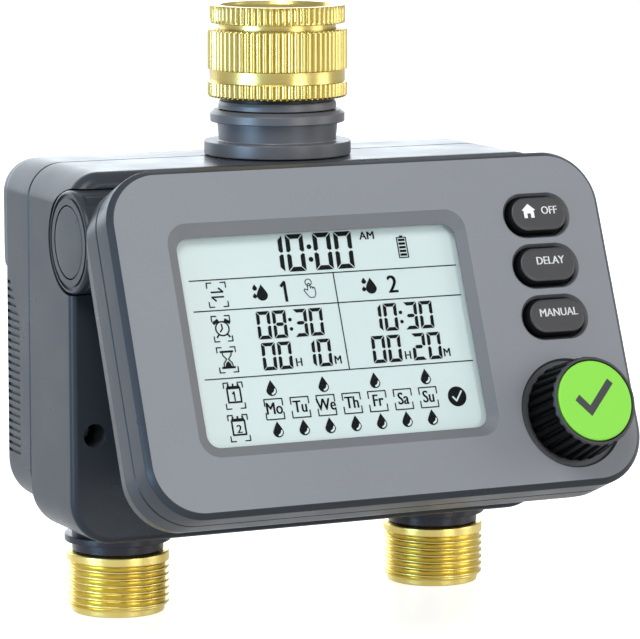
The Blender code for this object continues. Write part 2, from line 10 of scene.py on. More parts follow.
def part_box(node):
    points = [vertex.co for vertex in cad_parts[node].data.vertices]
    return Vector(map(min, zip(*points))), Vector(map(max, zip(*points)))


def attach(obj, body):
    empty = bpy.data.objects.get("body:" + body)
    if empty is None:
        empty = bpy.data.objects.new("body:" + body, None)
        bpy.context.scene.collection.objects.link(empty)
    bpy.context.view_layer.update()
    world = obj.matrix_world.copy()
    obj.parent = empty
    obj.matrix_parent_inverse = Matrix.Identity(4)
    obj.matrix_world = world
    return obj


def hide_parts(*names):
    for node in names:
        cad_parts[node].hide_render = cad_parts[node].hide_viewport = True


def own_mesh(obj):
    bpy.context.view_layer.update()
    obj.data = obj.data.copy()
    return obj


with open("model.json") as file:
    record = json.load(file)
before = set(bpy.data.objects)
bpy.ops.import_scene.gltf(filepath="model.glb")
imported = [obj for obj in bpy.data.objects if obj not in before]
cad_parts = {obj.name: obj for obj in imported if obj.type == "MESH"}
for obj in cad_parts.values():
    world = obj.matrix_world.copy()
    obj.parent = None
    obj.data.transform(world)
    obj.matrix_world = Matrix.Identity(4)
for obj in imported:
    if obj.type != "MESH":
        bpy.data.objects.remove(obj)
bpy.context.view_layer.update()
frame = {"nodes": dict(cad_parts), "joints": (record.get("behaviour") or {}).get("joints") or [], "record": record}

MM = 0.001
ADD, CUT = "UNION", "DIFFERENCE"
RECORD = frame["record"]
JOINTS = {joint["name"]: joint for joint in frame["joints"]}


def corners_mm(node):
    """A node's lowest and highest corners in millimetres."""
    low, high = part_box(node)
    return low / MM, high / MM


# Frames
def panel_frame():
    """The panel's face frame: origin on the hinge axis, x right, y up the face, z out of it."""
    out = -Vector(JOINTS["button_off_press"]["axis"]).normalized()
    right = Vector((1, 0, 0))
    up = out.cross(right)
    turn = Matrix((right, up, out)).transposed().to_4x4()
    return Matrix.Translation(Vector(JOINTS["panel_tilt"]["pos_m"])) @ turn


PANEL = panel_frame()
HOUSE = Matrix.Rotation(radians(90), 4, "X")
WORLD = Matrix.Identity(4)
HINGE = HOUSE.inverted() @ PANEL.translation / MM
DIAL_AT = PANEL.inverted() @ Vector(JOINTS["dial_turn"]["pos_m"]) / MM


def shift(x=0.0, y=0.0):
    """A move sideways, from millimetres."""
    return Matrix.Translation(Vector((x, y, 0)) * MM)


def in_panel(node):
    """A node's box in the panel's frame, in millimetres."""
    inverse = PANEL.inverted()
    points = [inverse @ v.co / MM for v in frame["nodes"][node].data.vertices]
    low = [min(p[i] for p in points) for i in range(3)]
    high = [max(p[i] for p in points) for i in range(3)]
    return Vector(low), Vector(high)


# Mesh builders, all in millimetres
def skin(rings, closed=False):
    """A body over rings of equal length, capped at both ends, or joined last to first."""
    bm = bmesh.new()
    loops = [[bm.verts.new(p) for p in ring] for ring in rings]
    pairs = list(zip(loops, loops[1:]))
    if closed:
        pairs.append((loops[-1], loops[0]))
    else:
        bm.faces.new(loops[0])
        bm.faces.new(loops[-1])
    for a, b in pairs:
        for i, j in zip(range(-1, len(a) - 1), range(len(a))):
            bm.faces.new((a[i], a[j], b[j], b[i]))
    return bm


def rounded(x0, x1, y0, y1, z, r_low, r_top=None, steps=12):
    """The points of a rounded rectangle at height z."""
    r_top = r_low if r_top is None else r_top
    corners = ((x1 - r_top, y1 - r_top, r_top), (x0 + r_top, y1 - r_top, r_top),
               (x0 + r_low, y0 + r_low, r_low), (x1 - r_low, y0 + r_low, r_low))
    points = []
    for quarter, (cx, cy, r) in enumerate(corners):
        for i in range(steps + 1):
            a = radians(90 * (quarter + i / steps))
            points.append(Vector((cx + r * cos(a), cy + r * sin(a), z)))
    return points


def plate(x0, x1, y0, y1, z0, z1, radius, steps=8):
    return skin([rounded(x0, x1, y0, y1, z, radius, steps=steps) for z in (z0, z1)])


def stadium(cx, cy, width, height, z, steps=12):
    w, h = width / 2, height / 2
    return rounded(cx - w, cx + w, cy - h, cy + h, z, h * 0.995, steps=steps)


def box(x0, x1, y0, y1):
    return [(x0, y0), (x1, y0), (x1, y1), (x0, y1)]


def block(x0, x1, y0, y1, z0, z1):
    return skin([[(x, y, z) for x, y in box(x0, x1, y0, y1)] for z in (z0, z1)])


def rod(radius, start, end, segments=64):
    start, end = Vector(start), Vector(end)
    axis = end - start
    bm = bmesh.new()
    bmesh.ops.create_cone(bm, cap_ends=True, segments=segments, radius1=radius, radius2=radius,
                          depth=axis.length)
    turn = axis.to_track_quat("Z", "Y").to_matrix().to_4x4()
    place = Matrix.Translation((start + end) / 2) @ turn
    bmesh.ops.transform(bm, matrix=place, verts=bm.verts)
    return bm


def soften(points, steps=4):
    """A closed (r, z, rounding) outline with its corners rounded."""
    result = []
    count = len(points)
    for i, (r, z, rounding) in enumerate(points):
        here = Vector((r, z))
        before = Vector(points[i - 1][:2]) - here
        after = Vector(points[(i + 1) % count][:2]) - here
        reach = min(rounding, before.length * 0.49, after.length * 0.49)
        if reach < 1e-4:
            result.append((r, z))
            continue
        a = here + before.normalized() * reach
        b = here + after.normalized() * reach
        for k in range(steps + 1):
            t = k / steps
            p = a * (1 - t) ** 2 + here * 2 * t * (1 - t) + b * t * t
            result.append((p.x, p.y))
    return result


def turned(profile, segments=128, radial=None):
    """A ring turned about Z from a closed (r, z) outline; radial(r, z, angle) may change r."""
    rings = []
    for r, z in profile:
        ring = []
        for i in range(segments):
            a = 2 * pi * i / segments
            here = r if radial is None else radial(r, z, a)
            ring.append(Vector((here * cos(a), here * sin(a), z)))
        rings.append(ring)
    return skin(rings, closed=True)


def disc_stack(profile, segments=96):
    """A solid turned about Z: the outline runs from bottom to top and is capped at both ends."""
    rings = []
    for r, z in profile:
        angles = [2 * pi * i / segments for i in range(segments)]
        rings.append([Vector((r * cos(a), r * sin(a), z)) for a in angles])
    return skin(rings)


# Pieces
def add_object(name, data, location=(0, 0, 0)):
    obj = bpy.data.objects.new(name, data)
    bpy.context.scene.collection.objects.link(obj)
    obj.location = location
    return obj


def link(name, bm, place):
    """A bmesh in millimetres becomes an object whose mesh lies in place, in metres."""
    bmesh.ops.recalc_face_normals(bm, faces=bm.faces)
    mesh = bpy.data.meshes.new(name)
    bm.to_mesh(mesh)
    bm.free()
    mesh.transform(place @ Matrix.Scale(MM, 4))
    return add_object(name, mesh)


def shade(obj, degrees=32, weighted=True):
    obj.data.shade_smooth()
    obj.data.set_sharp_from_angle(angle=radians(degrees))
    if weighted:
        modifier = obj.modifiers.new("flat_faces", "WEIGHTED_NORMAL")
        modifier.keep_sharp = True
        modifier.weight = 50


def carve(obj, steps, place):
    """Apply a list of (operation, bmesh) Booleans to an object."""
    for operation, bm in steps:
        tool = link("tool", bm, place)
        modifier = obj.modifiers.new("carve", "BOOLEAN")
        modifier.operation = operation
        modifier.solver = "EXACT"
        modifier.object = tool
        deps = bpy.context.evaluated_depsgraph_get()
        mesh = bpy.data.meshes.new_from_object(obj.evaluated_get(deps))
        obj.modifiers.remove(modifier)
        old = obj.data
        obj.data = mesh
        bpy.data.meshes.remove(old)
        bpy.data.objects.remove(tool, do_unlink=True)


def finish_piece(obj, material, body, replaces=(), smooth=32, weighted=True):
    """Shade, colour and hang a finished piece on its body."""
    if smooth is not None:
        shade(obj, smooth, weighted)
    obj.data.materials.clear()
    obj.data.materials.append(MATERIALS[material])
    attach(obj, body)
    if replaces:
        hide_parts(*replaces)
    return obj


def zones(obj, materials, place, choose):
    """More materials on one piece: choose(point) gives 0 for its own, or the number of another."""
    for name in materials:
        obj.data.materials.append(MATERIALS[name])
    inverse = place.inverted()
    for face in obj.data.polygons:
        face.material_index = choose(inverse @ face.center / MM)


# Materials
def srgb(*values):
    """8-bit display values to linear colour."""
    linear = [((v / 255 + 0.055) / 1.055) ** 2.4 if v > 10 else v / 255 / 12.92 for v in values]
    return (*linear, 1.0)


class Nodes:
    """A small helper for building a node material."""

    def __init__(self, name):
        self.material = bpy.data.materials.new(name)
        self.material.use_nodes = True
        self.tree = self.material.node_tree
        self.shader = self.tree.nodes["Principled BSDF"]
        coords = self.tree.nodes.new("ShaderNodeTexCoord")
        self.coords = coords.outputs["Object"]

    def add(self, kind, **settings):
        node = self.tree.nodes.new(kind)
        for key, value in settings.items():
            setattr(node, key, value)
        return node

    def join(self, out, into):
        self.tree.links.new(out, into)

    def noise(self, scale, detail=3.0, roughness=0.55, stretch=None):
        node = self.add("ShaderNodeTexNoise")
        node.inputs["Scale"].default_value = scale
        node.inputs["Detail"].default_value = detail
        node.inputs["Roughness"].default_value = roughness
        source = self.coords
        if stretch is not None:
            mapping = self.add("ShaderNodeMapping")
            mapping.inputs["Scale"].default_value = stretch
            self.join(source, mapping.inputs["Vector"])
            source = mapping.outputs["Vector"]
        self.join(source, node.inputs["Vector"])
        return node.outputs["Fac"]

    def spread(self, value, low, high, start=0.3, end=0.7):
        node = self.add("ShaderNodeMapRange")
        node.inputs["From Min"].default_value = start
        node.inputs["From Max"].default_value = end
        node.inputs["To Min"].default_value = low
        node.inputs["To Max"].default_value = high
        self.join(value, node.inputs["Value"])
        return node.outputs["Result"]

    def blend(self, value, dark, light):
        node = self.add("ShaderNodeMix", data_type="RGBA")
        node.inputs["A"].default_value = dark
        node.inputs["B"].default_value = light
        self.join(value, node.inputs["Factor"])
        return node.outputs["Result"]

    def colour(self, value, dark, light):
        tone = self.spread(value, 0, 1)
        self.join(self.blend(tone, dark, light), self.shader.inputs["Base Color"])

    def rough(self, value, low, high):
        self.join(self.spread(value, low, high), self.shader.inputs["Roughness"])

    def bumps(self, heights):
        """Chained bumps from (height, strength, distance in mm)."""
        normal = None
        for height, strength, distance in heights:
            bump = self.add("ShaderNodeBump")
            bump.inputs["Strength"].default_value = strength
            bump.inputs["Distance"].default_value = distance * MM
            self.join(height, bump.inputs["Height"])
            if normal is not None:
                self.join(normal, bump.inputs["Normal"])
            normal = bump.outputs["Normal"]
        self.join(normal, self.shader.inputs["Normal"])

    def set(self, **values):
        for key, value in values.items():
            self.shader.inputs[key.replace("_", " ")].default_value = value


def moulded(name, dark, light, rough, grain=1400.0, bump=0.12, gloss_level=0.4):
    """Moulded plastic: fine spark-eroded grain, slow colour drift, uneven gloss."""
    n = Nodes(name)
    n.colour(n.noise(9.0, 2.0), srgb(*dark), srgb(*light))
    n.rough(n.noise(60.0, 4.0), rough - 0.04, rough + 0.05)
    n.bumps(((n.noise(grain, 2.0), bump, 0.02), (n.noise(260.0, 3.0), bump * 0.5, 0.03)))
    n.set(Specular_IOR_Level=gloss_level)
    return n.material


def brass(name, dark, light, rough):
    """Bright turned brass with faint machining lines and tarnish in patches."""
    n = Nodes(name)
    n.colour(n.noise(60.0, 2.0, 0.5), srgb(*dark), srgb(*light))
    n.rough(n.noise(120.0, 2.0), rough - 0.02, rough + 0.03)
    lines = n.noise(30.0, 1.0, 0.5, (1.0, 1.0, 90.0))
    n.bumps(((lines, 0.02, 0.01),))
    n.set(Metallic=1.0)
    return n.material


def metal(name, colour, rough, metallic=1.0):
    """Plain metal, or a metallic sleeve, a little darker and duller in patches."""
    n = Nodes(name)
    dark = (*(0.8 * value for value in colour), 1.0)
    n.colour(n.noise(120.0), dark, (*colour, 1.0))
    n.rough(n.noise(300.0), rough - 0.06, rough + 0.1)
    n.bumps(((n.noise(500.0), 0.08, 0.02),))
    n.set(Metallic=metallic)
    return n.material


def display_material():
    """Reflective liquid crystal glass: pale grey-green with a fine diffuser grain, and a faint painted glow that
    lifts its brightness.
    """
    n = Nodes("display_glass_painted_glow")
    n.colour(n.noise(14.0, 1.0), srgb(208, 224, 222), srgb(215, 230, 228))
    n.rough(n.noise(2600.0, 1.0), 0.55, 0.68)
    n.bumps(((n.noise(1900.0, 1.0), 0.05, 0.01),))
    # The faint emission is a painted glow that brightens the display; the display is no lamp.
    n.set(Specular_IOR_Level=0.3, Emission_Color=(0.72, 0.86, 0.85, 1), Emission_Strength=0.12)
    return n.material


def lens_material():
    """Thin clear window: light passes straight through, with a faint reflection."""
    n = Nodes("clear_window")
    n.rough(n.noise(30.0), 0.05, 0.09)
    n.set(Base_Color=(0.02, 0.03, 0.03, 1), Alpha=0.03, Specular_IOR_Level=0.4)
    n.material.blend_method = "BLEND"
    return n.material


MATERIALS = {
    "shell": moulded("shell_plastic", (56, 60, 66), (61, 65, 71), 0.3, gloss_level=0.22),
    # The window rim, key wells and dial dish are darker greys of the bezel plastic: painted shade in those
    # recesses.
    "window_rim_painted_shade": moulded("window_rim_painted_shade", (112, 114, 118), (118, 120, 124), 0.5, 1700.0, 0.16),
    "bezel": moulded("bezel_plastic", (134, 137, 142), (139, 142, 147), 0.5, 1700.0, 0.16),
    "well": moulded("key_well_painted_shade", (112, 114, 118), (118, 120, 124), 0.5),
    "dish": moulded("dial_dish_painted_shade", (78, 80, 84), (84, 86, 90), 0.5),
    "neck": moulded("neck_plastic", (88, 89, 94), (94, 95, 100), 0.38, gloss_level=0.8),
    "outlet_plastic": moulded("outlet_plastic", (40, 40, 50), (46, 46, 57), 0.3),
    "black_plastic": moulded("black_plastic", (24, 25, 27), (32, 33, 35), 0.4, gloss_level=0.25),
    "white_plastic": moulded("white_plastic", (205, 205, 200), (214, 214, 209), 0.5),
    "key": moulded("key_rubber", (62, 62, 63), (68, 68, 69), 0.42, 900.0, 0.1),
    # Near-black copy of the key rubber: painted shade on the keys' flanges and side walls.
    "key_side_painted_shade": moulded("key_side_painted_shade", (8, 8, 9), (12, 12, 13), 0.6, 900.0, 0.1, 0.15),
    "dial": moulded("dial_plastic", (6, 6, 7), (10, 10, 11), 0.4, gloss_level=0.1),
    # Grey on the black knob's top lip: a painted highlight.
    "dial_top_painted_highlight": moulded("dial_top_painted_highlight", (60, 60, 64), (68, 68, 72), 0.45),
    "green": moulded("green_plastic", (140, 224, 72), (146, 229, 78), 0.45, 1100.0, 0.1),
    "check": moulded("check_print", (56, 58, 60), (62, 64, 66), 0.5),
    "label": moulded("label_print", (244, 244, 244), (250, 250, 250), 0.5),
    "segment": moulded("segment_ink", (12, 15, 17), (18, 21, 23), 0.6, gloss_level=0.1),
    "rubber": moulded("seal_rubber", (30, 30, 31), (38, 38, 39), 0.8),
    "board": moulded("solder_mask", (20, 92, 52), (28, 104, 60), 0.35, 500.0, 0.2),
    "brass": brass("inlet_brass", (205, 186, 112), (214, 196, 122), 0.28),
    "outlet_brass": brass("outlet_brass", (230, 209, 124), (239, 219, 136), 0.3),
    "steel": metal("bright_steel", (0.6, 0.6, 0.61), 0.3),
    "copper": metal("copper_winding", (0.72, 0.33, 0.14), 0.35),
    "cell": metal("cell_sleeve", (0.06, 0.065, 0.08), 0.35, 0.4),
    "display": display_material(),
    "lens": lens_material(),
}


# Housing
FRONT_LOW, FRONT_HIGH = corners_mm("front_shell")
REAR_LOW, REAR_HIGH = corners_mm("rear_shell")
BODY_HALF_W = FRONT_HIGH.x
BODY_TOP = FRONT_HIGH.z
BODY_BOTTOM = FRONT_LOW.z
REAR_BOTTOM = REAR_LOW.z
BODY_FRONT = 24.0
BODY_SEAM = -4.5
BODY_REAR = -22.4
BULGE_REAR = -REAR_HIGH.y
BODY_R_LOW = 11.5
BODY_R_TOP = 9.0
WALL = 2.5
FRONT_FILLET = 1.8
TOP_ROLL = 4.0
SCOOP_R = 13.3
BARREL_R = 12.9
KNUCKLE_R = 8.8
PIN_BORE_R = 3.15
OUTLET_X = 45.5
NECK_HOLE_R = 11.5
OUTLET_HOLE_R = 11.2
BOSS_R = 3.8
SCREW_HOLE_R = 1.7
SCREW_HEAD_R = 3.0
BODY_SCREWS = ((-61.4, -104.6), (61.4, -104.6), (-20.0, -52.0), (20.0, -52.0))
SIDES = (("left", -1), ("right", 1))


def body_outline(inset, z, bottom, drop=None, steps=16):
    drop = inset if drop is None else drop
    return rounded(-BODY_HALF_W + inset, BODY_HALF_W - inset, bottom + inset, BODY_TOP - drop, z,
                   BODY_R_LOW - inset, BODY_R_TOP - inset, steps)


def round_over(radius, depth):
    """How far a quarter-round edge has drawn in at a depth past its start."""
    return radius - sqrt(max(radius * radius - depth * depth, 0.0)) if depth > 0 else 0.0


def water_holes():
    """Holes between the two body shells for the inlet neck and the outlet necks."""
    holes = [(CUT, rod(NECK_HOLE_R, (0, -46, 0), (0, -37, 0)))]
    for _, side in SIDES:
        x = side * OUTLET_X
        holes.append((CUT, rod(OUTLET_HOLE_R, (x, -137, 0), (x, -123, 0))))
    return holes


def front_shell():
    start = BODY_FRONT - TOP_ROLL
    depths = [BODY_SEAM + 0.15, BODY_SEAM + 0.5]
    depths += [start + TOP_ROLL * sin(radians(90 * i / 12)) for i in range(13)]
    rings = []
    for z in depths:
        lip = 0.3 if z < BODY_SEAM + 0.3 else 0.0
        inset = round_over(FRONT_FILLET, z - (BODY_FRONT - FRONT_FILLET)) + lip
        drop = round_over(TOP_ROLL, z - start) + lip
        rings.append(body_outline(inset, z, BODY_BOTTOM, drop))
    shell = link("front_shell_skin", skin(rings), HOUSE)
    inner = BODY_HALF_W - WALL
    back, front, roof, shelf = BODY_SEAM - 1, BODY_FRONT - WALL, BODY_TOP - WALL, -71.5
    steps = [
        (CUT, plate(-inner, inner, BODY_BOTTOM + WALL, shelf, -1.5, front, 4)),
        (CUT, plate(-inner, inner, REAR_BOTTOM + WALL, roof, back, 7.5, 6.5)),
        (CUT, plate(-29, 29, shelf - 1, roof - 2, back, front, 1)),
    ]
    y, z = HINGE.y, HINGE.z
    for side in (-1, 1):
        steps.append((ADD, rod(KNUCKLE_R, (side * 30, y, z), (side * 48, y, z))))
        steps.append((CUT, rod(SCOOP_R, (side * 44.7, y, z), (side * 72, y, z), 128)))
        steps.append((CUT, rod(PIN_BORE_R, (side * 35.5, y, z), (side * 46, y, z), 32)))
    steps += water_holes()
    for x, y in BODY_SCREWS:
        steps.append((ADD, rod(BOSS_R, (x, y, -4), (x, y, 22.5), 24)))
        steps.append((CUT, rod(SCREW_HOLE_R, (x, y, -6), (x, y, 13), 16)))
        steps.append((CUT, rod(SCREW_HEAD_R, (x, y, 12.5), (x, y, 26), 48)))
    carve(shell, steps, HOUSE)
    finish_piece(shell, "shell", "housing", ("front_shell",))


def rear_shell():
    start = BODY_REAR + 3
    depths = [BODY_SEAM - 0.15, BODY_SEAM - 0.5]
    depths += [start - 3 * sin(radians(90 * i / 10)) for i in range(11)]
    rings = []
    for z in depths:
        lip = 0.3 if z > BODY_SEAM - 0.3 else 0.0
        inset = round_over(3.0, start - z) + lip
        rings.append(body_outline(inset, z, REAR_BOTTOM))
    shell = link("rear_shell_skin", skin(rings), HOUSE)
    inner = BODY_HALF_W - WALL
    bulge = [(0.35, -67.5, -20.5), (0.35, -67.3, -22.1), (0.45, -65.2, -22.8),
             (0.75, -62.3, -23.7), (1.2, -59.8, -24.5), (1.8, -57.8, BULGE_REAR + 0.25),
             (2.6, -56.6, BULGE_REAR)]
    rings = [rounded(-BODY_HALF_W + inset, BODY_HALF_W - inset, low, BODY_TOP - inset, z, 1.5,
                     BODY_R_TOP - inset) for inset, low, z in bulge]
    steps = [
        (ADD, skin(rings)),
        (CUT, plate(-inner, inner, REAR_BOTTOM + WALL, BODY_TOP - WALL, -20, -3, 6.5)),
    ]
    steps += water_holes()
    for x, y in BODY_SCREWS:
        steps.append((ADD, rod(BOSS_R, (x, y, -21), (x, y, -5), 24)))
        steps.append((CUT, rod(POST_HOLE_R, (x, y, -16), (x, y, -3), 16)))
    steps += grip_grooves()
    carve(shell, steps, HOUSE)
    finish_piece(shell, "shell", "housing", ("rear_shell",))


GROOVES = 24
GROOVE_PITCH = 1.9
GROOVE_W = 0.85
GROOVE_DEPTH = 0.7


def grip_grooves():
    """Fine finger grooves along both sides; the first ones are cut short by a slanted line."""
    steps = []
    for side in (-1, 1):
        near, far = sorted((side * (BODY_HALF_W - GROOVE_DEPTH), side * (BODY_HALF_W + 1)))
        for i in range(GROOVES):
            y = -70.5 - i * GROOVE_PITCH
            reach = min(-11.5, -17.5 + i * 1.3)
            steps.append((CUT, block(near, far, y - GROOVE_W / 2, y + GROOVE_W / 2, -20.5, reach)))
    return steps


# Turned parts
KNURLS = 66


def knurl(bands, depth=0.6):
    """Straight knurling inside height bands: rounded crests with narrow valleys between them."""
    def radial(r, z, angle):
        for low, high, radius in bands:
            if low <= z <= high and r > radius - 0.75:
                return r - depth * (1 - abs(cos(KNURLS * angle / 2))) ** 1.2
        return r
    return radial


def inlet_pieces():
    adapter = [(17.45, 0, 0.25), (17.45, -4.6, 0.25), (15.15, -4.6, 0.1), (15.15, -5.6, 0),
               (15.0, -16.5, 0.1), (9.5, -16.5, 0), (9.5, -14, 0), (12.1, -14, 0),
               (12.1, -3.4, 0.2), (14.6, -0.9, 0.2), (14.9, 0, 0.25)]
    outline = dense(soften(adapter), 0.9)
    shape = turned(outline, KNURLS * 8, knurl(((-4.45, -0.15, 17.45),)))
    obj = link("adapter_brass", shape, WORLD)
    finish_piece(obj, "brass", "inlet_swivel", ("inlet_adapter",), 40, False)
    nut = [(15.3, -6.1, 0.15), (17.6, -6.1, 0.1), (18, -6.5, 0.1), (18, -16.4, 0.1),
           (17.45, -16.5, 0.1), (17.45, -19.7, 0.1), (18, -19.8, 0.1), (18, -23.2, 0.15),
           (17.6, -23.6, 0.1), (12.9, -23.6, 0), (12.9, -21.5, 0), (15.3, -21.5, 0)]
    outline = dense(soften(nut), 0.9)
    bands = ((-16.35, -6.35, 18.0), (-23.4, -19.85, 18.0))
    obj = link("nut_brass", turned(outline, KNURLS * 8, knurl(bands)), WORLD)
    finish_piece(obj, "brass", "inlet_swivel", ("inlet_nut",), 40, False)
    ring = [(12.8, -23.9, 0), (14.6, -23.9, 0.15), (14.6, -24.6, 0), (15.0, -24.7, 0.2),
            (15.25, -25.6, 0.2), (15.25, -26.7, 0.1), (12.8, -26.7, 0)]
    obj = link("snap_ring", turned(soften(ring)), WORLD)
    finish_piece(obj, "neck", "housing", ("inlet_snap_ring",))
    # The ring's upper band, tucked under the nut, is painted black: painted shade under the nut.
    zones(obj, ["black_plastic"], WORLD, lambda p: int(p.z > -24.65))
    neck = [(15, -19.1, 0.2), (15, -21.2, 0.2), (12.5, -21.2, 0), (12.5, -27, 0),
            (16.3, -27, 0.1), (17.4, -27.9, 0.12), (17.4, -30.1, 0.25),
            (15.6, -30.1, 0.15), (15.2, -35, 0.4), (19, -35, 0.25), (19, -38.5, 0.3),
            (11, -38.5, 0), (11, -48, 0), (8.9, -48, 0), (8.9, -20.5, 0), (10.6, -20.5, 0),
            (10.6, -19.1, 0.2)]
    obj = link("neck_plastic", turned(soften(neck)), WORLD)
    finish_piece(obj, "neck", "housing", ("inlet_neck",))


def dense(outline, step):
    """Add points on long stretches of an outline, so that a knurl can follow it."""
    result = []
    for i, (r, z) in enumerate(outline):
        result.append((r, z))
        nr, nz = outline[(i + 1) % len(outline)]
        parts = int(abs(nz - z) / step)
        for k in range(1, parts):
            result.append((r + (nr - r) * k / parts, z + (nz - z) * k / parts))
    return result


THREAD_PITCH = 1.814
THREAD_DEPTH = 1.0


def threaded(radius, low, high):
    """A right-hand thread cut into a band of a turned part, run out at both ends."""
    def radial(r, z, angle):
        if r < radius - 0.05 or not low <= z <= high:
            return r
        phase = (z / THREAD_PITCH + angle / (2 * pi)) % 1.0
        groove = max(0.0, 1.0 - abs(phase - 0.5) / 0.42)
        groove = groove * groove * (3 - 2 * groove) * 0.35 + groove * 0.65
        fade = min(1.0, (high - z) / 0.5, (z - low) / 0.5)
        return r - THREAD_DEPTH * groove * fade
    return radial


def outlet_pieces():
    for word, side in SIDES:
        place = shift(side * OUTLET_X)
        neck = [(10.6, -126, 0), (10.6, -133, 0), (11.8, -133, 0.2), (11.8, -134.4, 0),
                (13.75, -134.4, 0.3), (13.75, -136.2, 0.3), (11.8, -136.2, 0.1),
                (11.8, -138.6, 0.1), (9.5, -138.6, 0), (9.5, -127, 0), (9, -126, 0)]
        obj = link(f"outlet_collar_{word}", turned(soften(neck)), place)
        finish_piece(obj, "outlet_plastic", "housing",
                     (f"outlet_neck_{word}",))
        tail = [(13.22, -138.9, 0.5), (13.22, -152.7, 0.05), (12.1, -153.1, 0.15),
                (12.0, -154.7, 0.35), (9.5, -154.7, 0.3), (9.5, -138.9, 0)]
        outline = dense(soften(tail), 0.12)
        shape = turned(outline, 144, threaded(13.22, -152.9, -140.9))
        obj = link(f"outlet_tail_{word}", shape, place)
        finish_piece(obj, "outlet_brass", "housing",
                     (f"outlet_thread_{word}",), 60, False)


WIRE_R = 0.4
SPRING_TURNS = 5
SPRING_STEPS = 32


def springs():
    """Plunger springs, as coils of round wire."""
    for word, side in SIDES:
        node = f"plunger_spring_{word}"
        low, high = corners_mm(node)
        coil_r = (high.x - low.x) / 2 - WIRE_R
        count = SPRING_TURNS * SPRING_STEPS
        rings = []
        for i in range(count + 1):
            a = 2 * pi * i / SPRING_STEPS
            z = low.z + WIRE_R + (high.z - low.z - 2 * WIRE_R) * i / count
            section = circle(coil_r, z, WIRE_R, 8)
            rings.append([(r * cos(a), r * sin(a), height) for r, height in section])
        obj = link(f"spring_{word}", skin(rings), shift(side * OUTLET_X))
        finish_piece(obj, "steel", "housing", (node,), 60, False)
        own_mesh(obj)


# Panel
BEZEL_LOW, BEZEL_HIGH = in_panel("panel_bezel")
PANEL_HALF_W = BEZEL_HIGH.x
PANEL_TOP = BEZEL_HIGH.y
PANEL_BOTTOM = BEZEL_LOW.y
PANEL_FACE = BEZEL_HIGH.z
PANEL_SEAM = BEZEL_LOW.z
PANEL_BACK = 9.5
PANEL_R = 14.0
PANEL_WALL = 2.4
FACE_WALL = 1.6
FACE_CHAMFER = 1.1
REAR_BEVEL = 3.0
RIM_DROP = 0.9
DISH_R = 14.1
POST_R = 3.4
POST_HOLE_R = 1.5
PANEL_SCREWS = ((-22.0, 4.5), (22.0, 4.5), (-50.0, -71.0), (50.0, -71.0))
WINDOW = (-50.55, 25.55, -60.15, -7.55)
WINDOW_RIM = (-53.2, 28.2, -62.75, -4.15)
BUTTONS = ("button_off", "button_delay", "button_manual")


def panel_outline(inset, z, drop=None):
    """The panel's outline, drawn in by inset, and by drop along the top edge."""
    drop = inset if drop is None else drop
    return rounded(-PANEL_HALF_W + inset, PANEL_HALF_W - inset, PANEL_BOTTOM + inset,
                   PANEL_TOP - drop, z, PANEL_R - inset, steps=20)


def button_centre(name):
    low, high = in_panel(name)
    return (low.x + high.x) / 2, (low.y + high.y) / 2


def bezel():
    edge = PANEL_FACE - FACE_CHAMFER - 0.25
    rings = [panel_outline(0.25, PANEL_SEAM), panel_outline(0, PANEL_SEAM + 0.3),
             panel_outline(0, edge - 0.3), panel_outline(0.12, edge + 0.1),
             panel_outline(FACE_CHAMFER + 0.15, PANEL_FACE - 0.1),
             panel_outline(FACE_CHAMFER + 0.35, PANEL_FACE)]
    obj = link("bezel_moulding", skin(rings), PANEL)
    floor_z = PANEL_FACE - FACE_WALL
    above, below = PANEL_FACE + 1, floor_z - 1
    steps = [(CUT, skin([panel_outline(PANEL_WALL, z) for z in (PANEL_SEAM - 1, floor_z)]))]
    for x, y in PANEL_SCREWS:
        steps.append((ADD, rod(POST_R, (x, y, 19.5), (x, y, 26.5), 24)))
        steps.append((CUT, rod(POST_HOLE_R, (x, y, 18), (x, y, 24.5), 16)))
    levels = ((WINDOW, below, 3.5), (WINDOW, PANEL_FACE - 1.3, 3.5),
              (WINDOW_RIM, PANEL_FACE - 0.02, 5.5), (WINDOW_RIM, above, 5.5))
    steps.append((CUT, skin([rounded(*edges, z, r) for edges, z, r in levels])))
    slot = ((17.4, 10.6, below), (17.4, 10.6, PANEL_FACE - 1), (19, 11.8, PANEL_FACE - 0.02),
            (19, 11.8, above))
    for cx, cy in map(button_centre, BUTTONS):
        steps.append((CUT, skin([stadium(cx, cy, w, h, z) for w, h, z in slot])))
    dish = disc_stack([(13.2, 26.7), (13.6, 26.75), (DISH_R, PANEL_FACE - 0.02), (DISH_R, above)])
    bmesh.ops.translate(dish, vec=(DIAL_AT.x, DIAL_AT.y, 0), verts=dish.verts)
    steps.append((CUT, dish))
    hub = [(DIAL_AT.x, DIAL_AT.y, z) for z in (below, above)]
    steps.append((CUT, rod(8.3, *hub)))
    carve(obj, steps, PANEL)
    finish_piece(obj, "shell", "panel", ("panel_bezel",))
    # Recessed faces of the bezel take the darker greys: painted shade in the dish, the key wells and round the
    # window.
    zones(obj, ["bezel", "dish", "well", "window_rim_painted_shade"], PANEL, bezel_zone)


def bezel_zone(at):
    """A spot of the front moulding: 0 edge, 1 face, 2 the dial's dish, 3 a key well, 4 the rim; the dish, the
    wells and the rim take darker greys as painted shade.
    """
    if at.z < PANEL_FACE - 3.5:
        return 0
    sunk = at.z < PANEL_FACE - 0.01
    if sunk and (at - Vector((DIAL_AT.x, DIAL_AT.y, at.z))).length < DISH_R - 0.05:
        return 2
    for cx, cy in map(button_centre, BUTTONS):
        if sunk and abs(at.x - cx) < 9.6 and abs(at.y - cy) < 6.0:
            return 3
    if at.z > PANEL_FACE - 0.03:
        return 1
    left, right, low, high = WINDOW_RIM
    return 4 if left < at.x < right and low < at.y < high else 0


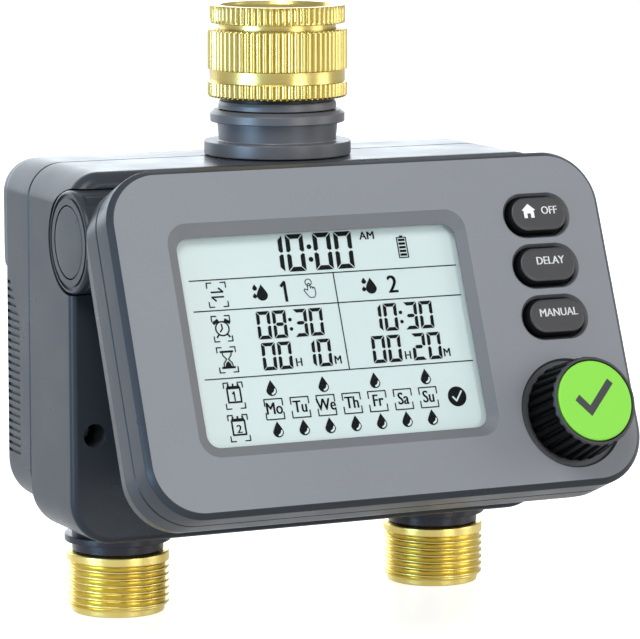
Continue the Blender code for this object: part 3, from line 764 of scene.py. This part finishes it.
def rear_cover():
    seam, bevel = PANEL_SEAM - 0.3, PANEL_BACK + REAR_BEVEL
    rim = PANEL_BACK - RIM_DROP
    rings = [panel_outline(0.25, seam), panel_outline(0, seam - 0.3),
             panel_outline(0, bevel + 0.15), panel_outline(0.06, bevel - 0.1, 0.15),
             panel_outline(0.55, rim + 0.5, REAR_BEVEL), panel_outline(1.0, rim, REAR_BEVEL + 0.4)]
    obj = link("rear_cover_moulding", skin(rings), PANEL)
    pod = [rounded(-60.5 + i, 60.5 - i, -68 + i, -24 - i, z, 5 - i)
           for i, z in ((0, 10.5), (0, 2.8), (1, 1.8))]
    recess = [panel_outline(3.6, rim - 1, 6.0), panel_outline(3.2, PANEL_BACK, 5.6)]
    steps = [(CUT, skin(recess)),
             (CUT, skin([panel_outline(PANEL_WALL, 11.7), panel_outline(PANEL_WALL, 20)])),
             (ADD, skin(pod))]
    web = [(12.9, 0), (9.2, 9.5), (8, 11.5), (-12.9, 11.5), (-12.9, 0)]
    for side in (-1, 1):
        steps.append((ADD, barrel(side)))
        steps.append((ADD, skin([[(side * x, y, z) for y, z in web] for x in (45, 65.5)])))
        steps.append((CUT, rod(PIN_BORE_R, (side * 44, 0, 0), (side * 66, 0, 0), 32)))
        steps.append((CUT, rod(9.3, (side * 65.7, 0, 0), (side * 69, 0, 0), 96)))
        steps.append((CUT, end_groove(side)))
    steps += [(CUT, block(-54.3, 54.3, -64.7, -30.3, 0, 13.5)),
              (CUT, block(-57, 57, -70, -27.9, 0, 3.3)),
              (CUT, block(-58.6, 58.6, -70, -27.9, 2.9, 4.5))]
    for x, y in PANEL_SCREWS:
        steps.append((ADD, rod(POST_R, (x, y, 10.6), (x, y, 18.7), 24)))
        steps.append((CUT, rod(SCREW_HOLE_R, (x, y, 8), (x, y, 20), 16)))
        steps.append((CUT, rod(SCREW_HEAD_R, (x, y, 8), (x, y, 11.9), 32)))
    carve(obj, steps, PANEL)
    finish_piece(obj, "shell", "panel", ("panel_rear_cover",))


def along_x(bm, side):
    """Turn a shape made about Z to lie about X, towards one side."""
    turn = Matrix.Rotation(side * pi / 2, 4, "Y")
    bmesh.ops.transform(bm, matrix=turn, verts=bm.verts)
    return bm


def barrel(side):
    """Hinge barrel with a rounded outer rim."""
    profile = [(BARREL_R, 45), (BARREL_R, 66.5), (BARREL_R - 0.12, 67.0),
               (BARREL_R - 0.45, 67.37), (BARREL_R - 0.9, 67.5)]
    return along_x(disc_stack(profile, 128), side)


def end_groove(side):
    """A shallow ring groove in the barrel's end face."""
    profile = [(11.0, 69), (11.9, 69), (11.9, 67.0), (11.0, 67.0)]
    return along_x(turned(profile), side)


def hinge_caps():
    for word, side in SIDES:
        profile = [(9.0, 66), (9.0, 67.2), (8.9, 67.38), (8.7, 67.45), (5.0, 67.5), (0.5, 67.5)]
        obj = link(f"hinge_disc_{word}", along_x(disc_stack(profile), side), PANEL)
        finish_piece(obj, "shell", "panel", (f"hinge_cap_{word}",))


def battery_door():
    low, high = in_panel("battery_cover")
    rings = [rounded(-56.7 + i, 56.7 - i, low.y + i, high.y - i, z, 1.2 - i, steps=4)
             for i, z in ((0, 3.0), (0, 2.1), (0.3, 1.8))]
    obj = link("battery_door", skin(rings), PANEL)
    steps = []
    for side in (-1, 1):
        near, far = sorted((side * 54.7, side * 58.3))
        steps.append((ADD, block(near, far, low.y, high.y, 2.95, 4.2)))
    for i in range(5):
        y, width = high.y - 5 - i * 1.6, 18 - i * 2.4
        steps.append((CUT, skin([stadium(0, y, width, 0.8, z, 6) for z in (1.5, 2.2)])))
    carve(obj, steps, PANEL)
    finish_piece(obj, "shell", "battery_cover", ("battery_cover",))


# Keys
KEY_SHOULDER = 28.75
KEY_SIZES = ((18.8, 12.2, 24.6), (18.8, 12.2, 25.6), (16.2, 9.4, 25.6), (16.0, 9.2, 27.9),
             (15.8, 9.0, 28.5), (15.4, 8.5, 28.9), (14.8, 7.9, 29.07), (13.8, 6.9, 29.1))


def keys():
    """Key caps: a wide flange, a side wall and a crowned top; flange and side wall are painted near black as
    shade.
    """
    for name in BUTTONS:
        cx, cy = button_centre(name)
        shape = skin([stadium(cx, cy, w, h, z, 16) for w, h, z in KEY_SIZES])
        obj = link(f"{name}_cap", shape, PANEL)
        finish_piece(obj, "key", name, (name,), 40)
        # Below the shoulder the cap is painted near black: painted shade on the flange and side wall.
        zones(obj, ["key_side_painted_shade"], PANEL, lambda p: int(p.z < KEY_SHOULDER))


# Dial
DIAL_RIBS = 28
DIAL_BASE_R = 12.5
DIAL_TOP_R = 11.5


def dial_ring():
    at = PANEL @ shift(DIAL_AT.x, DIAL_AT.y)
    top = 40.1
    outline = [(10.5, 36.9, 0), (10.5, top, 0.2), (11.1, top, 0.25), (DIAL_TOP_R, 39.2, 0.3),
               (DIAL_BASE_R, 27.6, 0.3), (DIAL_BASE_R - 0.5, 27.0, 0.2), (8.0, 27.0, 0),
               (8.0, 24.4, 0), (3.4, 24.4, 0), (3.4, 36.9, 0)]

    def ribs(r, z, angle):
        side = DIAL_TOP_R + (DIAL_BASE_R - DIAL_TOP_R) * (39.2 - z) / 11.6
        if r < side - 0.55 or z > 39.6 or z < 27.1:
            return r
        wave = cos(DIAL_RIBS * angle)
        groove = 0.5 - 0.5 * max(-1.0, min(1.0, wave * 1.9 + 0.2))
        fade = min(1.0, (39.6 - z) / 0.8)
        return r - 0.95 * groove * fade

    shape = turned(dense(soften(outline), 0.8), DIAL_RIBS * 20, ribs)
    obj = link("dial_knob", shape, at)
    finish_piece(obj, "dial", "dial_ring", ("dial_ring",), 40, False)
    # The knob's top lip is painted grey: a painted highlight where it faces up.
    zones(obj, ["dial_top_painted_highlight"], at, lambda p: int(p.z > 39.35 and sqrt(p.x ** 2 + p.y ** 2) > 10.4))


def dial_cap():
    at = PANEL @ shift(DIAL_AT.x, DIAL_AT.y)
    profile = [(3.1, 23.7), (3.1, 38.3), (10.2, 38.3), (10.2, 39.9), (10.1, 40.12),
               (9.85, 40.25), (9.4, 40.3), (0.4, 40.3)]
    obj = link("green_button", disc_stack(profile, 128), at)
    finish_piece(obj, "green", "dial_cap", ("dial_cap",))
    mark = [(-5.6, 0.4), (-4.3, 1.75), (-1.7, -1.2), (4.3, 5.25), (5.65, 3.95), (-1.7, -3.9)]
    obj = link("check_mark", flat_polygon(mark, 40.28, 40.36), at)
    finish_piece(obj, "check", "dial_cap", smooth=None)


def flat_polygon(points, z0, z1):
    """A thin plate with a straight-sided outline."""
    bm = skin([[Vector((x, y, z)) for x, y in points] for z in (z0, z1)])
    flats = [f for f in bm.faces if len(f.verts) > 4]
    bmesh.ops.triangulate(bm, faces=flats)
    return bm


# Display graphics
INK_LOW, INK_HIGH = 24.12, 24.2
SEGMENTS = {
    "0": "abcdef", "1": "bc", "2": "abged", "3": "abgcd", "4": "fgbc", "5": "afgcd",
    "6": "afgedc", "7": "abc", "8": "abcdefg", "9": "abcdfg",
}
SLANT = 0.045


def digit(char, x, y, width, height, thick):
    """The lit segments of one digit; x, y is its lower left corner."""
    t, gap, half = thick, thick * 0.16, height / 2
    shapes = {
        "a": [(gap, height), (width - gap, height), (width - t - gap, height - t),
              (t + gap, height - t)],
        "d": [(gap, 0), (t + gap, t), (width - t - gap, t), (width - gap, 0)],
        "f": [(0, height - gap), (t, height - t - gap), (t, half + t * 0.45 + gap),
              (t * 0.5, half + gap), (0, half + t * 0.2 + gap)],
        "e": [(0, gap), (0, half - t * 0.2 - gap), (t * 0.5, half - gap),
              (t, half - t * 0.45 - gap), (t, t + gap)],
        "g": [(t * 0.7 + gap, half), (t * 1.2 + gap, half + t / 2),
              (width - t * 1.2 - gap, half + t / 2), (width - t * 0.7 - gap, half),
              (width - t * 1.2 - gap, half - t / 2), (t * 1.2 + gap, half - t / 2)],
    }
    for source, target in (("f", "b"), ("e", "c")):
        shapes[target] = [(width - px, py) for px, py in reversed(shapes[source])]
    lit = [shapes[s] for s in SEGMENTS[char]]
    return [[(x + px - (py - half) * -SLANT, y + py) for px, py in shape] for shape in lit]


def number(text, x, y, width, height, thick, pitch):
    shapes = []
    for char in text:
        if char == ":":
            for level in (0.3, 0.64):
                shapes.append(circle(x + pitch * 0.09, y + height * level, thick * 0.55, 12))
            x += pitch * 0.3
            continue
        shapes += digit(char, x, y, width, height, thick)
        x += pitch
    return shapes


def circle(cx, cy, radius, count):
    angles = [2 * pi * i / count for i in range(count)]
    return [(cx + radius * cos(a), cy + radius * sin(a)) for a in angles]


def stroke(points, width):
    """A constant-width band along an open line of points, as quads."""
    shapes = []
    for (x0, y0), (x1, y1) in zip(points, points[1:]):
        run = Vector((x1 - x0, y1 - y0))
        along = run.normalized() * width / 2
        side = Vector((-along.y, along.x))
        a, b = Vector((x0, y0)) - along * 0.5, Vector((x1, y1)) + along * 0.5
        shapes.append([tuple(a + side), tuple(a - side), tuple(b - side), tuple(b + side)])
    return shapes


def brackets(x0, x1, y0, y1, arm=1.5, width=0.3):
    """Four corner marks round an icon."""
    shapes = []
    for cx, sx in ((x0, 1), (x1, -1)):
        for cy, sy in ((y0, 1), (y1, -1)):
            shapes += stroke([(cx + sx * arm, cy), (cx, cy), (cx, cy + sy * arm)], width)
    return shapes


def drop_outline(cx, cy, radius, height, count=28):
    """A water drop: a round bottom and a pointed top."""
    points = []
    for i in range(count):
        a = 2 * pi * i / count - pi / 2
        lift = max(0.0, sin(a))
        x = cx + radius * cos(a) * (1 - lift) ** 0.62
        y = cy + (radius * sin(a) if lift == 0 else (height - radius) * lift)
        points.append((x, y))
    return points


def crescent(cx, cy, radius, count=12):
    """The pale glint low on the right of a drop."""
    points = []
    for start, sweep, offset, share in ((-95, 110, 0, 1), (5, -85, 0.3, 0.95)):
        for i in range(count + 1):
            a = radians(start + sweep * i / count)
            points.append((cx + radius * (share * cos(a) - offset),
                           cy + radius * (share * sin(a) + offset)))
    return points


def calendar(x0, y0, x1, y1):
    shapes = brackets(x0, x1, y0, y1, 1.3, 0.28)
    cx, cy = (x0 + x1) / 2, (y0 + y1) / 2 + 0.1
    w, h = 1.7, 1.75
    left, right, low, high = cx - w, cx + w, cy - h, cy + h
    shapes += stroke([(left, high), (left, low), (right, low), (right, high), (left, high)], 0.42)
    shapes.append(box(left, right, high - 0.1, high + 0.55))
    for fraction in (0.12, 0.5, 0.88):
        x = left + (right - left) * fraction
        shapes += stroke([(x, high + 0.3), (x, high + 1.05)], 0.42)
    return shapes


def clock_icon(cx, cy):
    shapes = brackets(cx - 2.6, cx + 2.2, cy - 3.3, cy + 3.1, 1.3, 0.28)
    ring = circle(cx - 0.1, cy - 0.1, 1.75, 36)
    shapes += stroke(ring + ring[:1], 0.34)
    shapes += stroke([(cx - 0.2, cy + 1.0), (cx - 0.1, cy - 0.1), (cx - 0.75, cy - 0.9)], 0.34)
    for side in (-1, 1):
        bell = [(cx - 0.1 + side * 1.0, cy + 2.0), (cx - 0.1 + side * 2.1, cy + 1.35)]
        shapes += stroke(bell, 0.8)
        foot = [(cx - 0.1 + side * 1.2, cy - 1.6), (cx - 0.1 + side * 1.7, cy - 2.25)]
        shapes += stroke(foot, 0.4)
    return shapes


def hourglass(cx, cy):
    shapes = brackets(cx - 2.6, cx + 2.3, cy - 3.3, cy + 3.0, 1.3, 0.28)
    for level in (-2.1, 1.9):
        shapes += stroke([(cx - 1.75, cy + level), (cx + 1.55, cy + level)], 0.5)
    for side in (-1, 1):
        curve = [(cx - 0.1 + side * 1.2, cy + 1.7), (cx - 0.1 + side * 1.1, cy + 1.0),
                 (cx - 0.1 + side * 0.25, cy), (cx - 0.1 + side * 1.1, cy - 1.0),
                 (cx - 0.1 + side * 1.2, cy - 1.9)]
        shapes += stroke(curve, 0.28)
    sand = [(cx - 1.0, cy - 1.9), (cx + 0.8, cy - 1.9), (cx + 0.45, cy - 1.0), (cx - 0.1, cy - 0.5),
            (cx - 0.65, cy - 1.0)]
    shapes.append(sand)
    return shapes


def arrows_icon(cx, cy):
    shapes = brackets(cx - 2.7, cx + 2.3, cy - 3.1, cy + 3.0, 1.3, 0.28)
    shapes += stroke([(cx - 1.75, cy + 0.62), (cx + 1.35, cy + 0.62), (cx + 0.35, cy + 1.6)], 0.4)
    shapes += stroke([(cx + 1.35, cy - 0.62), (cx - 1.75, cy - 0.62), (cx - 0.75, cy - 1.6)], 0.4)
    return shapes


def battery_icon(x, y):
    """An upright battery gauge; x, y is its lower left corner."""
    w, h = 2.5, 5.2
    lean = 0.35
    outline = box(x, x + w, y, y + h)
    shapes = stroke(outline + outline[:1], 0.26)
    shapes.append(box(x + 0.8, x + w - 0.8, y + h, y + h + 0.5))
    for i in range(5):
        level = y + 0.45 + i * 0.95
        shapes.append(box(x + lean, x + w - lean, level, level + 0.6))
    return shapes


def hand_icon(cx, cy):
    """A pointing hand drawn in outline, with a ring at its fingertip."""
    hand = [(-0.35, 1.2), (-0.5, -0.3), (-1.25, 0.05), (-1.5, -0.35), (-0.6, -1.7), (-0.1, -2.2),
            (1.1, -2.2), (1.55, -1.4), (1.5, 0.1), (1.1, 0.35), (0.95, 0.0), (0.85, 0.5),
            (0.45, 0.45), (0.35, 0.1), (0.25, 1.2), (-0.05, 1.45), (-0.35, 1.2)]
    shapes = stroke([(cx + x, cy + y) for x, y in hand], 0.18)
    ring = circle(cx - 0.05, cy + 1.65, 0.85, 20)
    return shapes + stroke(ring + ring[:1], 0.18)


def day_box(cx, cy):
    """The frame round a day's name: two long sides, with gaps beside the name."""
    w, h = 2.4, 2.55
    shapes = []
    for sy in (-1, 1):
        edge = [(cx - w, cy + sy * (h - 1.7)), (cx - w, cy + sy * h), (cx + w, cy + sy * h),
                (cx + w, cy + sy * (h - 1.7))]
        shapes += stroke(edge, 0.28)
    return shapes


def polygons(name, shapes, low, high, material, body, slot):
    """Many flat shapes as one thin raised print."""
    bm = bmesh.new()
    for index, shape in enumerate(shapes):
        top = high + (index % 5) * 0.0015
        loops = [[bm.verts.new((x, y, z)) for x, y in shape] for z in (low, top)]
        faces = [bm.faces.new(loops[0]), bm.faces.new(loops[1])]
        for i, j in zip(range(-1, len(shape) - 1), range(len(shape))):
            bm.faces.new((loops[0][i], loops[0][j], loops[1][j], loops[1][i]))
        if len(shape) > 4:
            bmesh.ops.triangulate(bm, faces=faces)
    obj = link(name, bm, PANEL)
    return finish_piece(obj, material, body, smooth=None)


BOLD = 0.018


def words(name, items, low, high, material, body, slot):
    """Words as one thin raised print, doubled to look bold; items: (text, x, y, size, stretch)."""
    objects = []
    doubled = [(text, x + shift, y, size, stretch) for text, x, y, size, stretch in items
               for shift in (-size * BOLD, size * BOLD)]
    for text, x, y, size, stretch in doubled:
        curve = bpy.data.curves.new(name, "FONT")
        curve.body = text
        curve.size = size
        curve.align_x = "CENTER"
        curve.align_y = "CENTER"
        curve.extrude = (high - low) / 2
        curve.resolution_u = 3
        obj = add_object(name, curve, (x, y, (low + high) / 2))
        obj.scale = (stretch, 1, 1)
        objects.append(obj)
    bpy.context.view_layer.update()
    deps = bpy.context.evaluated_depsgraph_get()
    bm = bmesh.new()
    for obj in objects:
        mesh = bpy.data.meshes.new_from_object(obj.evaluated_get(deps))
        mesh.transform(obj.matrix_world)
        bm.from_mesh(mesh)
        bpy.data.meshes.remove(mesh)
    for obj in objects:
        bpy.data.objects.remove(obj, do_unlink=True)
    bmesh.ops.remove_doubles(bm, verts=bm.verts, dist=1e-4)
    result = link(name, bm, PANEL)
    return finish_piece(result, material, body, smooth=None)


DAYS = ("Mo", "Tu", "We", "Th", "Fr", "Sa", "Su")
DAY_X = [-30.75 + 7.02 * i for i in range(len(DAYS))]
CLOCK = (4.8, 9.5, 1.15, 5.75)
TIME = (3.65, 7.0, 0.86, 4.3)
LENGTH = (3.65, 6.9, 0.86, 4.3)
NUMBERS = (("10:00", -26.2, -17.0, CLOCK), ("08:30", -31.6, -33.55, TIME),
           ("00", -31.6, -41.4, LENGTH), ("10", -20.9, -41.4, LENGTH),
           ("10:30", -1.3, -33.6, TIME), ("00", -1.75, -41.6, LENGTH), ("20", 9.35, -41.6, LENGTH))
LETTERS = (("AM", 2.1, -9.0, 2.9, 1.0), ("H", -22.05, -40.0, 3.0, 0.9),
           ("M", -11.5, -40.1, 3.0, 0.9), ("H", 7.75, -40.2, 3.0, 0.9),
           ("M", 18.6, -40.2, 3.0, 0.9), ("2", 6.85, -22.0, 6.4, 0.9),
           ("2", -40.8, -55.5, 2.9, 1.0))


def display_graphics():
    """Everything the display shows, in millimetres on the panel's face."""
    shapes, glints = [], []
    for text, x, y, size in NUMBERS:
        shapes += number(text, x, y, *size)
    for y in (-17.85, -25.6, -42.65):
        shapes += stroke([(-47.7, y), (25.3, y)], 0.26)
    shapes += stroke([(-8.85, -17.85), (-8.85, -42.65)], 0.26)
    shapes += battery_icon(10.15, -15.1)
    shapes += arrows_icon(-40.6, -21.6)
    shapes += clock_icon(-40.85, -30.1)
    shapes += hourglass(-40.8, -37.9)
    shapes += hand_icon(-16.0, -21.6)
    for x in (-28.9, 0.85):
        shapes.append(drop_outline(x, -22.35, 1.5, 4.1))
        shapes.append(drop_outline(x - 1.75, -20.6, 0.62, 1.6))
        shapes.append(drop_outline(x - 2.0, -22.6, 0.55, 1.3))
    shapes += stroke([(-23.5, -20.5), (-22.55, -19.5), (-22.55, -24.3)], 0.75)
    shapes += calendar(-43.2, -50.3, -38.2, -43.8)
    shapes += calendar(-43.4, -58.4, -38.3, -51.9)
    for i, x in enumerate(DAY_X):
        shapes += day_box(x, -51.15)
        for level in (-56.85, -46.45)[:2 - i % 2]:
            shapes.append(drop_outline(x + 0.1, level, 1.4, 4.0))
            glints.append(crescent(x + 0.12, level, 1.1))
    shapes += stroke([(-41.1, -46.6), (-40.65, -46.1), (-40.65, -48.3)], 0.34)
    letters = [*LETTERS, *((day, x, -51.1, 4.3, 0.8) for day, x in zip(DAYS, DAY_X))]
    disc = [circle(19.25, -51.5, 2.55, 40)]
    tick = stroke([(18.0, -51.5), (18.9, -52.6), (20.6, -50.2)], 0.42)
    ink, paper = ("segment", "panel", "display"), ("display", "panel", "display")
    polygons("display_glints", glints, INK_LOW, INK_HIGH + 0.03, *paper)
    polygons("display_segments", shapes, INK_LOW, INK_HIGH, *ink)
    words("display_letters", letters, INK_LOW, INK_HIGH, *ink)
    polygons("display_ok_disc", disc, INK_LOW, INK_HIGH - 0.03, *ink)
    polygons("display_ok_tick", tick, INK_LOW, INK_HIGH + 0.02, *paper)


LABEL_LOW, LABEL_HIGH = 29.08, 29.14
LABELS = (("off", "OFF", 2.95, 0.7, 0.9), ("delay", "DELAY", 0.7, 0.9, 0.92),
          ("manual", "MANUAL", 0.4, 0.75, 0.92))
HOUSE_ICON = ((-2.2, 0.3), (0, 2.2), (2.2, 0.3), (1.6, 0.3), (1.6, -1.9), (0.55, -1.9),
              (0.55, -0.6), (-0.55, -0.6), (-0.55, -1.9), (-1.6, -1.9), (-1.6, 0.3))


def key_labels():
    for word, text, dx, dy, stretch in LABELS:
        key = f"button_{word}"
        x, y = button_centre(key)
        words(f"label_{word}", [(text, x + dx, y + dy, 2.9, stretch)], LABEL_LOW, LABEL_HIGH,
              "label", key, "key")
        if word == "off":
            house = [[(x - 2.9 + hx * 0.9, y + 0.7 + hy * 0.9) for hx, hy in HOUSE_ICON]]
            polygons("label_house", house, LABEL_LOW, LABEL_HIGH, "label", key, "key")


# Carried-over nodes
def plain_nodes():
    """Inner parts keep their CAD shape and get their own material."""
    looks = {entry["node"]: entry["material_slot"] for entry in RECORD["subparts"]}
    for name, obj in frame["nodes"].items():
        obj.data.materials.clear()
        obj.data.materials.append(MATERIALS[looks[name]])


# Stage
CAMERA_DIP = 8.1
CAMERA_SIDE = 25.5


def camera():
    data = bpy.data.cameras.new("camera")
    data.lens = 222.2
    data.sensor_width = 36.0
    data.clip_end = 20.0
    obj = add_object("camera", data, (-0.42886, -0.92475, 0.06295))
    obj.rotation_euler = (radians(90 - CAMERA_DIP), 0, radians(-CAMERA_SIDE))
    bpy.context.scene.camera = obj


def area(name, location, target, size, power, colour):
    data = bpy.data.lights.new(name, "AREA")
    data.shape = "RECTANGLE"
    data.size, data.size_y = size
    data.energy = power
    data.color = colour
    obj = add_object(name, data, location)
    obj.visible_camera = False
    direction = Vector(target) - Vector(location)
    obj.rotation_euler = direction.to_track_quat("-Z", "Y").to_euler()


def floor_paint():
    """White studio floor, lifted for the camera and for reflections so that shadows stay faint."""
    n = Nodes("floor_paint")
    n.colour(n.noise(2.0), (0.34, 0.34, 0.34, 1), (0.38, 0.38, 0.38, 1))
    path = n.add("ShaderNodeLightPath")
    camera_glow = n.spread(path.outputs["Is Camera Ray"], 0.0, 0.82, 0.0, 1.0)
    glossy_glow = n.spread(path.outputs["Is Glossy Ray"], 0.0, 0.5, 0.0, 1.0)
    both = n.add("ShaderNodeMath")
    n.join(camera_glow, both.inputs[0])
    n.join(glossy_glow, both.inputs[1])
    n.join(both.outputs[0], n.shader.inputs["Emission Strength"])
    n.set(Roughness=0.35, Emission_Color=(1, 1, 1, 1))
    return n.material


DIFFUSE_LEVEL = 0.2
GLOSS_LEVEL = 0.3
WHITE = (1, 1, 1)
LIGHTS = (
    ("overhead", (-0.4, -0.55, 0.75), (0, 0, -0.08), (0.5, 0.5), 6, WHITE),
    ("left_box", (-0.9, -0.2, -0.05), (0, 0, -0.12), (0.4, 0.2), 4.0, (0.42, 0.7, 1.0)),
    ("front_strip", (0.3, -1.2, 0.0), (0, 0, -0.03), (0.36, 1.2), 7, WHITE),
    ("right_box", (0.95, -0.55, 0.15), (0, 0, -0.03), (0.4, 0.7), 3, WHITE),
    ("back_box", (0.1, 1.3, 0.3), (0, 0, -0.05), (2.0, 0.8), 14, (0.85, 0.93, 1.0)),
)


def stage():
    floor_z = corners_mm("outlet_thread_left")[0].z * MM - 0.0002
    bm = bmesh.new()
    bmesh.ops.create_grid(bm, x_segments=1, y_segments=1, size=6.0 / MM)
    ground = link("floor", bm, Matrix.Translation((0, 0, floor_z)))
    ground.data.materials.append(floor_paint())
    world = bpy.data.worlds.new("studio")
    world.use_nodes = True
    tree = world.node_tree
    path = tree.nodes.new("ShaderNodeLightPath")
    extra = tree.nodes.new("ShaderNodeMath")
    extra.operation = "MULTIPLY_ADD"
    extra.inputs[1].default_value = GLOSS_LEVEL
    tree.links.new(path.outputs["Is Glossy Ray"], extra.inputs[0])
    tree.links.new(path.outputs["Is Camera Ray"], extra.inputs[2])
    total = tree.nodes.new("ShaderNodeMath")
    total.inputs[1].default_value = DIFFUSE_LEVEL
    tree.links.new(extra.outputs[0], total.inputs[0])
    tree.links.new(total.outputs[0], tree.nodes["Background"].inputs["Strength"])
    tree.nodes["Background"].inputs["Color"].default_value = (1, 1, 1, 1)
    bpy.context.scene.world = world
    for light in LIGHTS:
        area(*light)
    bpy.context.scene.view_settings.view_transform = "Standard"


plain_nodes()
front_shell()
rear_shell()
inlet_pieces()
outlet_pieces()
springs()
bezel()
rear_cover()
hinge_caps()
battery_door()
keys()
dial_ring()
dial_cap()
display_graphics()
key_labels()
camera()
stage()
